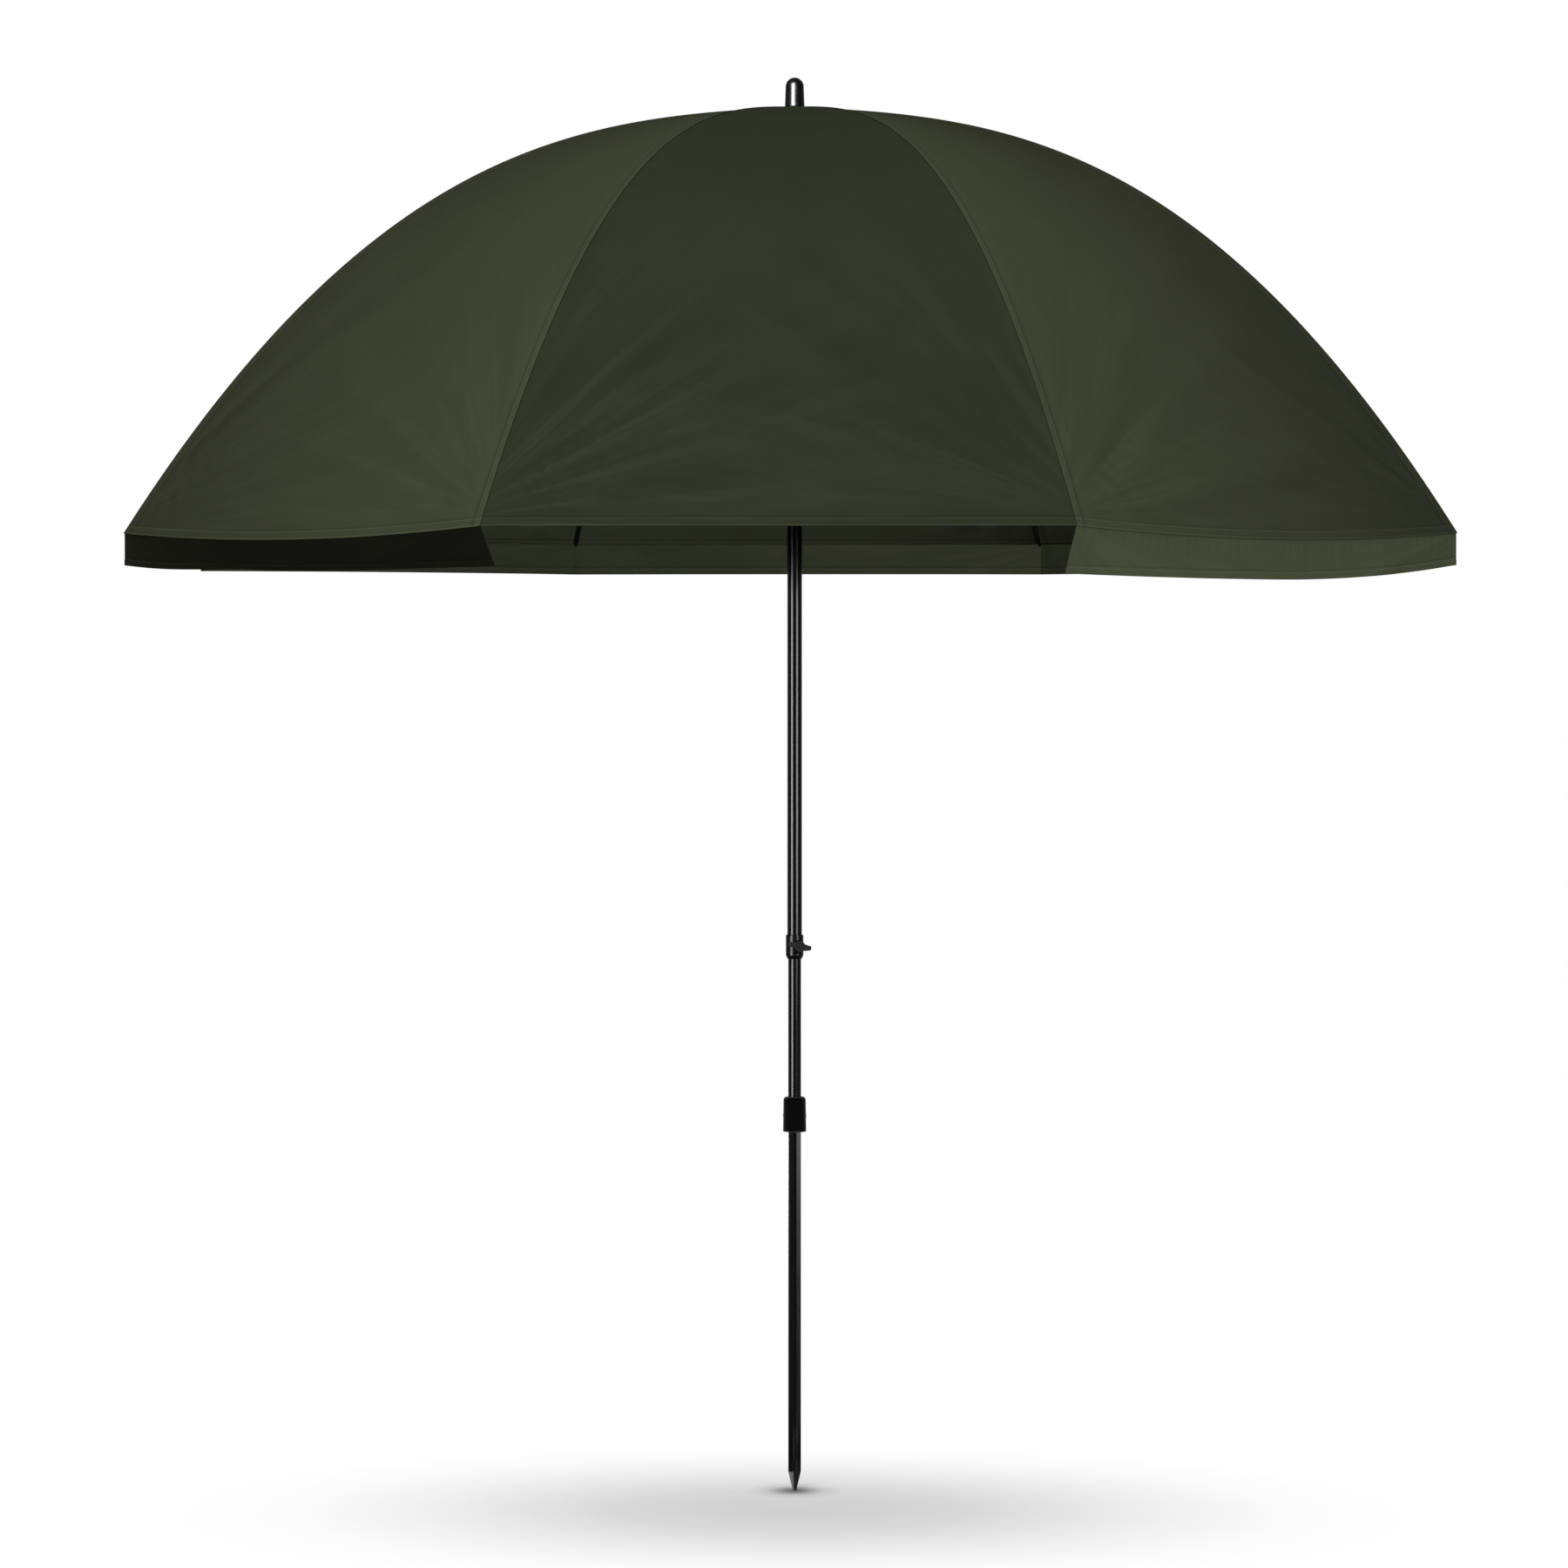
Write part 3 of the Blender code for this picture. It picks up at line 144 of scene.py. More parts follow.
# Light of the white surroundings on the object
WORLD_IN_FRONT = 0.21
WORLD_BEHIND = 0.06
WORLD_ABOVE = 0.85

# The photograph's camera, fitted to the canopy's hems and the pole
PHOTO_WIDTH = 1800
FOCAL_PIXELS = 5889
CAMERA_DROP_PIXELS = 182
CAMERA_PLACE = (-0.0165, -7.95, 1.346)
CAMERA_TURN = math.radians(1.45)
SENSOR_WIDTH = 36.0

SIDES = 64
SMOOTH = math.radians(35)
ROUNDER = math.radians(40)


# ---- finishes


class Nodes:
    """Adds nodes to a tree: each value is either set on its socket or linked to it."""

    def __init__(self, tree):
        self.tree = tree

    def put(self, socket, value):
        if isinstance(value, bpy.types.NodeSocket):
            self.tree.links.new(value, socket)
        else:
            opaque = socket.type == "RGBA" and len(value) == 3
            socket.default_value = (*value, 1.0) if opaque else value

    def add(self, kind, values=None, **settings):
        node = self.tree.nodes.new(kind)
        for key, value in settings.items():
            setattr(node, key, value)
        for key, value in (values or {}).items():
            self.put(node.inputs[key], value)
        return node

    def parts(self, vector):
        return self.add("ShaderNodeSeparateXYZ", {"Vector": vector}).outputs

    def joined(self, *parts):
        return self.add("ShaderNodeCombineXYZ", dict(enumerate(parts))).outputs["Vector"]

    def noise(self, vector, scale, detail=3.0, roughness=0.5):
        values = {"Vector": vector, "Scale": scale, "Detail": detail, "Roughness": roughness}
        return self.add("ShaderNodeTexNoise", values).outputs["Fac"]

    def stretched(self, vector, scale):
        return self.add("ShaderNodeMapping", {"Vector": vector, "Scale": scale}).outputs["Vector"]

    def ramp(self, factor, stops):
        node = self.add("ShaderNodeValToRGB", {"Fac": factor})
        elements = node.color_ramp.elements
        while len(elements) < len(stops):
            elements.new(0.5)
        for element, (place, colour) in zip(elements, stops):
            element.position = place
            element.color = (*colour, 1.0)
        return node.outputs["Color"]

    def grey_ramp(self, factor, *stops):
        return self.ramp(factor, [(place, grey(value)) for place, value in stops])

    def math(self, operation, first, second=0.0, third=0.0, clamp=False):
        node = self.add("ShaderNodeMath", {0: first, 1: second, 2: third}, operation=operation)
        node.use_clamp = clamp
        return node.outputs["Value"]

    def times(self, first, second):
        return self.math("MULTIPLY", first, second)

    def mix(self, factor, first, second, kind="MIX"):
        node = self.add("ShaderNodeMix", data_type="RGBA", blend_type=kind)
        for index, value in ((0, factor), (6, first), (7, second)):
            self.put(node.inputs[index], value)
        return node.outputs[2]

    def bump(self, height, distance, strength, below=None):
        values = {"Height": height, "Distance": distance, "Strength": strength}
        if below is not None:
            values["Normal"] = below
        return self.add("ShaderNodeBump", values).outputs["Normal"]


class Finish(Nodes):
    """A new material's nodes."""

    def __init__(self, name):
        self.material = bpy.data.materials.new(name)
        self.material.use_nodes = True
        super().__init__(self.material.node_tree)
        self.shader = self.tree.nodes["Principled BSDF"]
        self.coordinates = self.add("ShaderNodeTexCoord").outputs
        self.place = self.coordinates["Object"]

    def set(self, **values):
        for key, value in values.items():
            self.put(self.shader.inputs[key.replace("_", " ")], value)


def grey(value):
    return (value, value, value)


# Painted light and shade of the drag folds, in the cloth's colour: where it starts, across the
# panel and down along the rib, how far it reaches, and how fast it changes round the corner and
# away from it
FOLD_LIGHT_SIDE = 0.44
FOLD_LIGHT_DOWN = 1.30
FOLD_LIGHT_REACH = 0.75
FOLD_LIGHTS_ROUND = 9.0
FOLD_LIGHTS_AWAY = 2.2


def painted_drag_fold_light(n, uv, corner, seed):
    """Painted highlights and shade of the drag folds that fan out from one lower corner of a panel;
    0 where there are none.
    """
    run = n.parts(uv)
    side = n.math("WRAP", run["X"], UV_STEP / 2, -UV_STEP / 2)
    panel = n.math("ROUND", n.times(run["X"], 1 / UV_STEP))
    inset = n.math("SUBTRACT", FOLD_LIGHT_SIDE, n.times(side, float(corner)))
    up = n.math("SUBTRACT", FOLD_LIGHT_DOWN, run["Y"])
    angle = n.math("ARCTAN2", up, inset)
    squares = n.math("ADD", n.times(inset, inset), n.times(up, up))
    distance = n.math("SQRT", squares)
    spot = n.joined(n.times(angle, FOLD_LIGHTS_ROUND), n.times(distance, FOLD_LIGHTS_AWAY),
                    n.math("ADD", panel, seed))
    marks = n.noise(spot, 1.0, 2.0, 0.55)
    sharp = n.grey_ramp(marks, (0.34, 0.30), (0.50, 0.46), (0.60, 0.80), (0.68, 0.52))
    share = n.times(distance, 1 / FOLD_LIGHT_REACH)
    fade = n.grey_ramp(share, (0.0, 0.55), (0.25, 1.0), (1.0, 0.0))
    return n.times(n.math("SUBTRACT", sharp, 0.5), fade)


def stitch_row(n, distance, place, along):
    """Stitches in a line at one distance from an edge: 1 on the thread, 0 beside it."""
    near = n.math("ABSOLUTE", n.math("SUBTRACT", distance, place))
    line = n.math("LESS_THAN", near, THREAD_RADIUS)
    phase = n.math("FRACT", n.times(along, 1 / STITCH_PITCH))
    return n.times(line, n.math("LESS_THAN", phase, STITCH_SHARE))


def cloth_finish(name, light, dark, grain_share, drag):
    """Coated polyester: fine weave, soft colour drift, stitches, and painted light and shade at the
    folded edges and along the drag folds.
    """
    n = Finish(name)
    place, uv = n.place, n.coordinates["UV"]
    drift = n.noise(place, 2.2, 4.0, 0.6)
    streak = n.noise(n.stretched(place, (14, 14, 2.5)), 1.0, 3.0, 0.55)
    grain = n.noise(place, 520.0, 2.0, 0.75)
    streak_share = 0.25
    tone = n.math("ADD", n.times(drift, 1 - streak_share - grain_share),
                  n.times(streak, streak_share))
    tone = n.math("ADD", tone, n.times(grain, grain_share))
    colour = n.ramp(tone, [(0.34, dark), (0.66, light)])
    warp, weft = (
        n.add("ShaderNodeTexWave", {"Vector": uv, "Scale": 260.0, "Distortion": 0.6, "Detail": 1.0},
              wave_type="BANDS", bands_direction=direction).outputs["Fac"]
        for direction in "XY")
    weave = n.times(warp, weft)
    # Attribute "sewing" holds the distance to the seam's edge and to the hem, in metres
    sewing = n.add("ShaderNodeAttribute", attribute_name="sewing").outputs["Vector"]
    edges, run = n.parts(sewing), n.parts(uv)
    rows = stitch_row(n, edges["Y"], HEM_STITCHES, run["X"])
    for distance in SEAM_STITCHES:
        rows = n.math("MAXIMUM", rows, stitch_row(n, edges["X"], distance, run["Y"]))
    # Folded edges, with painted light and shade: a painted shadow in the fold, a painted highlight
    # on the ridge beside it, a painted shadow line at its far edge
    edge_reach = 0.040
    seam = n.grey_ramp(n.times(edges["X"], 1 / edge_reach),
                       (0.0, 0.55), (0.030, 0.80), (0.075, 1.16), (0.16, 1.06), (0.30, 1.04),
                       (0.36, 0.80), (0.43, 0.97), (0.60, 1.04), (1.0, 1.0))
    # The hem: a painted highlight on its turned edge and a painted shadow line where its fold ends
    hem = n.grey_ramp(n.times(edges["Y"], 1 / edge_reach),
                      (0.0, 1.35), (0.045, 1.30), (0.09, 0.98), (0.34, 1.02), (0.39, 0.78),
                      (0.46, 0.98), (1.0, 1.0))
    colour = n.mix(1.0, n.mix(1.0, colour, seam, "MULTIPLY"), hem, "MULTIPLY")
    # Painted light and shade of the drag folds from both lower corners, multiplied into the colour
    weaker_painted_folds = n.times(painted_drag_fold_light(n, uv, 1, 5.3), 0.8)
    marks = n.math("ADD", painted_drag_fold_light(n, uv, -1, 0.0), weaker_painted_folds)
    marks = n.math("ADD", n.times(marks, drag), 1.0)
    colour = n.mix(1.0, colour, n.joined(marks, marks, marks), "MULTIPLY")
    colour = n.mix(n.times(rows, 0.55), colour, [c * 1.9 for c in light])
    fine = n.bump(weave, 0.00008, 0.5)
    slack = n.noise(n.stretched(place, (30, 30, 9)), 1.0, 3.0, 0.5)
    soft = n.bump(slack, 0.0012, 0.35, fine)
    n.set(Base_Color=colour, Roughness=n.grey_ramp(tone, (0.3, 0.66), (0.7, 0.78)),
          Specular_IOR_Level=0.0, Normal=n.bump(rows, 0.0004, 0.8, soft))
    return n.material


def enamel_finish(name, base, roughness, scratch):
    """Gloss black enamel on drawn tube: faint orange peel, long rubs and a little dust."""
    n = Finish(name)
    place = n.place
    rubs = n.noise(n.stretched(place, (900, 900, 14)), 1.0, 3.0, 0.6)
    dust = n.noise(place, 55.0, 4.0, 0.65)
    dusty = n.grey_ramp(dust, (0.60, 0.0), (0.85, 0.35))
    peel = n.bump(n.noise(place, 300.0, 2.0), 0.000006, 0.5)
    n.set(Base_Color=n.mix(dusty, grey(base), grey(base * 1.6 + 0.001)),
          Roughness=n.grey_ramp(rubs, (0.35, roughness), (0.75, roughness + scratch)),
          Specular_IOR_Level=0.05, Normal=n.bump(rubs, 0.0000015, 0.5, peel))
    return n.material


def plastic_finish(name, colour, roughness, specular, grain, rubbed=()):
    """Moulded plastic: fine grain, slight sink marks, paler spots, and pale rims painted on as
    highlights.
    """
    n = Finish(name)
    place = n.place
    cloudy = n.noise(place, 90.0, 4.0, 0.6)
    fine = n.noise(place, 1800.0, 2.0, 0.6)
    tint = n.ramp(cloudy, [(0.35, [c * 0.8 for c in colour]), (0.72, [c * 1.35 for c in colour])])
    height = n.parts(place)["Z"]
    # Pale bands at the heights given in rubbed are painted highlights along the rims, broken up by
    # the cloudy noise
    for low, high in rubbed:
        rim = n.times(n.math("GREATER_THAN", height, low),
                      n.math("LESS_THAN", height, high))
        wear = n.times(rim, n.grey_ramp(cloudy, (0.40, 0.35), (0.60, 0.9)))
        tint = n.mix(wear, tint, PAINTED_RIM_HIGHLIGHT)
    rough = n.grey_ramp(cloudy, (0.3, roughness * 0.85), (0.75, min(1.0, roughness * 1.15)))
    sinks = n.bump(n.noise(place, 120.0), 0.00003, 0.4)
    n.set(Base_Color=tint, Roughness=rough, Specular_IOR_Level=specular,
          Normal=n.bump(fine, grain, 0.6, sinks))
    return n.material


def metal_finish(name, colour, roughness, stretch=(400, 400, 400)):
    """Plated steel with fine drawing marks and duller patches."""
    n = Finish(name)
    place = n.place
    marks = n.noise(n.stretched(place, stretch), 1.0, 3.0, 0.6)
    patches = n.noise(place, 60.0, 4.0, 0.6)
    n.set(Base_Color=n.ramp(patches, [(0.3, [c * 0.75 for c in colour]), (0.75, colour)]),
          Roughness=n.grey_ramp(marks, (0.3, roughness), (0.8, roughness + 0.18)),
          Metallic=1.0, Normal=n.bump(marks, 0.00003, 0.5))
    return n.material


def spike_finish(name):
    """Black powder coat on steel, rubbed towards the point by soil, with one flank ground bare."""
    n = Finish(name)
    place = n.place
    height = n.parts(place)["Z"]
    rubbed_height, bare_height, bare_facing, bare_side = 0.16, 0.0295, -0.75, -0.0012
    share = n.math("MULTIPLY", height, 1 / rubbed_height, clamp=True)
    low = n.math("SUBTRACT", 1.0, share, clamp=True)
    streaks = n.noise(n.stretched(place, (260, 260, 18)), 1.0, 4.0, 0.6)
    wear = n.times(n.times(low, low), streaks)
    colour = n.mix(n.grey_ramp(wear, (0.25, 0.0), (0.62, 0.5)), POWDER_BLACK, WORN_STEEL)
    facing = n.parts(n.coordinates["Normal"])["Y"]
    side = n.parts(place)["X"]
    ground = n.times(n.math("LESS_THAN", height, bare_height),
                     n.math("LESS_THAN", facing, bare_facing))
    ground = n.times(ground, n.math("LESS_THAN", side, bare_side))
    colour = n.mix(n.times(ground, 0.8), colour, BARE_STEEL)
    coat = n.noise(place, 900.0, 2.0)
    n.set(Base_Color=colour, Roughness=n.grey_ramp(streaks, (0.3, 0.17), (0.7, 0.28)),
          Specular_IOR_Level=0.04,
          Normal=n.bump(coat, 0.00001, 0.5, n.bump(streaks, 0.00001, 0.4)))
    return n.material


# A pale grey painted as highlights along the sleeve's rims
PAINTED_RIM_HIGHLIGHT = (0.16, 0.16, 0.165)
POWDER_BLACK = (0.0024, 0.0024, 0.0030)
WORN_STEEL = (0.09, 0.09, 0.095)
BARE_STEEL = (0.36, 0.36, 0.37)
OLIVE_LIGHT = (0.0500, 0.0562, 0.0335)
OLIVE_DARK = (0.0435, 0.0492, 0.0288)
# The front panel's cloth is a darker copy of the same olive, painted shade, as the front panel lies
# less in the light than the panels beside it
FRONT_SHADED_PALE = (0.0315, 0.0362, 0.0220)
FRONT_SHADED_DEEP = (0.0277, 0.0318, 0.0188)
# drag sets how strongly the painted light and shade of the drag folds shows
CLOTH = cloth_finish("olive_coated_polyester", OLIVE_LIGHT, OLIVE_DARK,
                     grain_share=0.40, drag=0.30)
SHADED_FRONT_CLOTH = cloth_finish("olive_coated_polyester_front", FRONT_SHADED_PALE, FRONT_SHADED_DEEP,
                           grain_share=0.12, drag=0.55)
ENAMEL = enamel_finish("black_gloss_enamel", 0.0025, 0.12, 0.06)
BLACK_MOULDING = plastic_finish("black_moulded_nylon", (0.0030, 0.0030, 0.0033), 0.23,
                                specular=0.04, grain=0.00001)
# The sleeve has painted highlights along its lower lip and its upper rim
SLEEVE_MOULDING = plastic_finish("black_sleeve_nylon", (0.0024, 0.0024, 0.0026), 0.30,
                                 specular=0.03, grain=0.00001,
                                 rubbed=((0.5600, 0.5616), (0.6138, 0.6150)))
CAP_MOULDING = plastic_finish("polished_black_nylon", (0.0008, 0.0008, 0.0008), 0.29,
                              specular=0.03, grain=0.000005)
GREY_MOULDING = plastic_finish("matt_grey_moulding", (0.0560, 0.0560, 0.0575), 0.62,
                               specular=0.10, grain=0.00009)
ZINC = metal_finish("zinc_plate", (0.60, 0.61, 0.62), 0.30)
SPRING = metal_finish("bright_spring_steel", (0.42, 0.42, 0.43), 0.24, (60, 900, 900))
BAR_COAT = spike_finish("black_powder_coat")
ROD_RESIN = enamel_finish("dark_glass_fibre_rod", 0.0100, 0.30, 0.20)
STRUT_COAT = enamel_finish("black_stretcher_coat", 0.0060, 0.24, 0.15)


# ---- modelling helpers


def deselect_all():
    for item in bpy.context.selected_objects:
        item.select_set(False)


def active():
    return bpy.context.view_layer.objects.active


def edit_all():
    bpy.ops.object.mode_set(mode="EDIT")
    bpy.ops.mesh.select_all(action="SELECT")


def end_edit():
    bpy.ops.object.mode_set(mode="OBJECT")


def select(piece):
    deselect_all()
    piece.select_set(True)
    bpy.context.view_layer.objects.active = piece


def finish_piece(piece, name, finish, body, replaced, angle=SMOOTH):
    """Names, shades, dresses and rides a piece whose place is already in its mesh."""
    piece.name = name
    piece.data.name = name
    piece.data.materials.clear()
    piece.data.materials.append(finish)
    select(piece)
    if angle is not None:
        bpy.ops.object.shade_smooth_by_angle(angle=angle)
    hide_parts(*replaced)
    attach(piece, body)


def extrude(step):
    bpy.ops.mesh.extrude_region_move(TRANSFORM_OT_translate={"value": (0, 0, step)})


def face_outwards():
    bpy.ops.mesh.select_all(action="SELECT")
    bpy.ops.mesh.normals_make_consistent(inside=False)
    end_edit()


def supported(outline, least=0.0025, inset=0.0003):
    """Adds rings just inside the ends of each long stretch, so that it shades straight between."""
    points = [outline[0]]
    for start, end in zip(outline, outline[1:]):
        length = math.dist(start, end)
        if length > least:
            for share in (inset / length, 1 - inset / length):
                points.append(tuple(a + (b - a) * share for a, b in zip(start, end)))
        points.append(end)
    return points


def turned(outline, sides=SIDES, hollow=False):
    """A turned piece: a ring extruded and resized from point to point of (radius, height)."""
    outline = supported(outline)
    deselect_all()
    radius, height = outline[0]
    bpy.ops.mesh.primitive_circle_add(vertices=sides, radius=radius, fill_type="NOTHING")
    edit_all()
    bpy.ops.transform.translate(value=(0, 0, height))
    if not hollow:
        bpy.ops.mesh.edge_face_add()
    for next_radius, next_height in outline[1:]:
        scale = next_radius / radius
        extrude(next_height - height)
        bpy.ops.transform.resize(value=(scale, scale, 1), center_override=(0, 0, next_height))
        radius, height = next_radius, next_height
    if hollow:
        bpy.ops.mesh.select_all(action="DESELECT")
        bpy.ops.mesh.select_non_manifold()
        bpy.ops.mesh.bridge_edge_loops()
    face_outwards()
    return active()


def arc(centre, radius, start, end, steps):
    angles = [math.radians(start + (end - start) * step / steps) for step in range(steps + 1)]
    return [(centre[0] + radius * math.cos(angle), centre[1] + radius * math.sin(angle))
            for angle in angles]


def rounded_tube(outer, bore, bottom, top, edge=0.0004):
    """Outline of a tube with eased rims, up the outside and down the bore."""
    foot = arc((outer - edge, bottom + edge), edge, -90, 0, 3)
    return foot + arc((outer - edge, top - edge), edge, 0, 90, 3) + [(bore, top), (bore, bottom)]


def apply_modifier(piece, kind, **settings):
    select(piece)
    modifier = piece.modifiers.new("step", kind)
    for key, value in settings.items():
        setattr(modifier, key, value)
    bpy.ops.object.modifier_apply(modifier=modifier.name)


def bevel(piece, width, segments, angle=30):
    apply_modifier(piece, "BEVEL", width=width, segments=segments, limit_method="ANGLE",
                   angle_limit=math.radians(angle))


def cut(piece, tool, operation="DIFFERENCE"):
    apply_modifier(piece, "BOOLEAN", operation=operation, solver="EXACT", object=tool)
    bpy.data.objects.remove(tool)


def set_place(piece, matrix):
    """Moves a piece's mesh, so that the object itself stays at the origin."""
    piece.data.transform(matrix)
    piece.data.update()


def peg(radius, start, end, sides=32):
    """A plain rod between two points, used as a cutter or as the start of a pin."""
    start, end = Vector(start), Vector(end)
    deselect_all()
    bpy.ops.mesh.primitive_cylinder_add(vertices=sides, radius=radius, depth=(end - start).length)
    rod = active()
    along = (end - start).to_track_quat("Z", "X").to_matrix().to_4x4()
    set_place(rod, Matrix.Translation((start + end) / 2) @ along)
    return rod


def lofted(sections):
    """A bar through sections of equally many points: a face extruded and reshaped at each."""
    deselect_all()
    bpy.ops.mesh.primitive_circle_add(vertices=len(sections[0]), radius=1, fill_type="NGON")
    bar = active()
    edit_all()
    for number, section in enumerate(sections):
        if number:
            extrude(1)
        grid = bmesh.from_edit_mesh(bar.data)
        end = [vertex for vertex in grid.verts if vertex.select]
        for vertex, point in zip(end, section):
            vertex.co = point
        bmesh.update_edit_mesh(bar.data)
    face_outwards()
    return bar


# ---- canopy


# The panels beside the front one bow out at the hem; which end of their skirt strips is free
OPEN_SIDES = {1: -1, PANEL_COUNT - 1: 1}


def drop(radius):
    out = radius / RIM_RADIUS
    linear, cube, fourth = CANOPY_DROP_SHARES
    return CANOPY_DROP * (linear * out + cube * out**3 + fourth * out**4)


def smooth(value):
    value = min(1.0, max(0.0, value))
    return value * value * (3 - 2 * value)


def arc_length_table(steps=240):
    """Length along a rib from the crown to each radius, so that a pattern can be laid out flat."""
    lengths = [0.0]
    for step in range(steps):
        a, b = RIM_RADIUS * step / steps, RIM_RADIUS * (step + 1) / steps
        lengths.append(lengths[-1] + math.hypot(b - a, drop(b) - drop(a)))
    return lengths


ARC = arc_length_table()


def rib_length(radius):
    place = radius / RIM_RADIUS * (len(ARC) - 1)
    index = min(int(place), len(ARC) - 2)
    return ARC[index] + (ARC[index + 1] - ARC[index]) * (place - index)


RIB_ARC = rib_length(RIM_RADIUS)


def tension_folds(index, side, flat_down, half_width):
    """Height of the drag lines that fan out from just outside a panel's lower corners."""
    beyond = 0.03
    up_from_hem = RIB_ARC - flat_down + beyond
    lift = 0.0
    for corner, reach in FOLD_REACHES:
        inset = half_width - side * corner + beyond
        distance = math.hypot(inset, up_from_hem)
        angle = math.atan2(up_from_hem, inset)
        waves = sum(
            share * math.sin(angle * count + index * turn + corner * shift + away * distance)
            for share, count, turn, shift, away in FOLD_WAVES)
        window = smooth(angle / 0.30) * smooth((1.45 - angle) / 0.25)
        lift += distance * math.exp(-distance / reach) * window * waves
    return lift * FOLD_DEPTH * (FOLD_STRENGTH if index else FRONT_FOLD_STRENGTH)


def slope_at(radius, before, after):
    """Slope of a panel's middle line between two radii just before and after a radius."""
    fall = drop(radius + after) - drop(radius - before)
    return math.atan2(fall, (before + after) * math.cos(HALF_PANEL))


def cloth_point(index, radius, side, detail=True, fullness=0.0):
    """A point of a panel's outer face in the panel's upright frame: out, along the hem, up."""
    half_width = radius * math.sin(HALF_PANEL)
    across = max(-1.0, min(1.0, side / half_width))
    arch = 1 - across * across
    share = (radius - INNER_RADIUS) / (RIM_RADIUS - INNER_RADIUS)
    bow = max(0.0, (share - HEM_BOW_START_SHARE) / (1 - HEM_BOW_START_SHARE))
    reach = radius + (HEM_BOW * bow * bow * arch if index in OPEN_SIDES else 0.0)
    out = reach * math.cos(HALF_PANEL)
    up = CROWN_HEIGHT - drop(reach) - SAG_DEPTH * 4 * share * (1 - share) * arch
    if detail:
        flat_down = rib_length(radius)
        to_seam, to_hem = half_width - abs(side), RIB_ARC - flat_down
        # The folds die out at the seams and at the hem, which are held straight
        lift = tension_folds(index, side, flat_down, half_width)
        lift *= smooth((to_seam - 0.004) / 0.05) * smooth((to_hem - 0.004) / 0.05)
        # A flat-felled seam along both sides of every second panel, and the turned hem
        step, half_step = 0.0016, 0.0008
        seam = smooth((SEAM_WIDTH + half_step - to_seam) / step) if index % 2 else 0.0
        rise = max(HEM_RISE * smooth((HEM_WIDTH + half_step - to_hem) / step), SEAM_RISE * seam)
        # Small puckers beside the stitching
        pucker_pitch, pucker_height = 0.021, 0.00035
        pucker = math.sin(flat_down * 2 * math.pi / pucker_pitch + index)
        pucker *= math.exp(-max(to_seam - SEAM_WIDTH, 0) / 0.012)
        pucker *= smooth(to_seam / 0.012) * pucker_height
        slope = slope_at(radius, 0.002, 0.002)
        lift += rise + pucker
        # The raised seam laps a little over the next panel
        side += side * lift * math.sin(slope) / out + math.copysign(SEAM_LAP * seam, side)
        lift += fullness * half_width * arch
        out += lift * math.sin(slope)
        up += lift * math.cos(slope)
    return Vector((out, side, up))


def side_columns(half_width):
    """Places across a panel: close together at the seams, even between."""
    edge = min(SEAM_WIDTH, half_width * 0.3)
    near = [edge * share for share in (0.0, 0.35, 0.85, 1.0, 1.15, 1.6)]
    start, end = near[-1] - half_width, half_width - near[-1]
    middle = [start + (end - start) * step / COLUMNS_BETWEEN_SEAMS
              for step in range(1, COLUMNS_BETWEEN_SEAMS)]
    left, right = [-half_width + inset for inset in near], [half_width - inset for inset in near]
    return left + middle + right[::-1]


def to_world(index, point):
    azimuth = index * 2 * HALF_PANEL
    sine, cosine = math.sin(azimuth), math.cos(azimuth)
    return Vector((point.x * sine + point.y * cosine, -point.x * cosine + point.y * sine, point.z))


def band_rows(start, end):
    """Radii of a band's rows; the last band has extra ones at the turned hem."""
    rows = [start + (end - start) * step / ROWS_PER_BAND for step in range(ROWS_PER_BAND + 1)]
    if end == RIM_RADIUS:
        per_metre = (rib_length(end) - rib_length(end - 0.01)) / 0.01
        extra = [end - width / per_metre
                 for width in (0.0180, HEM_WIDTH + 0.0012, HEM_WIDTH, HEM_WIDTH - 0.0012, 0.0070)]
        rows = sorted(rows[:-1] + extra) + [end]
    return rows


def normal_at(surface, down, side, step_down, step_side):
    """Normal of a surface, from its slopes down the panel and towards the panel's middle line."""
    inward = step_side if side <= 0 else -step_side
    along = surface(down + step_down, side) - surface(down - step_down, side)
    beside = (surface(down, side + inward) - surface(down, side)) / inward
    return along.cross(beside).normalized()


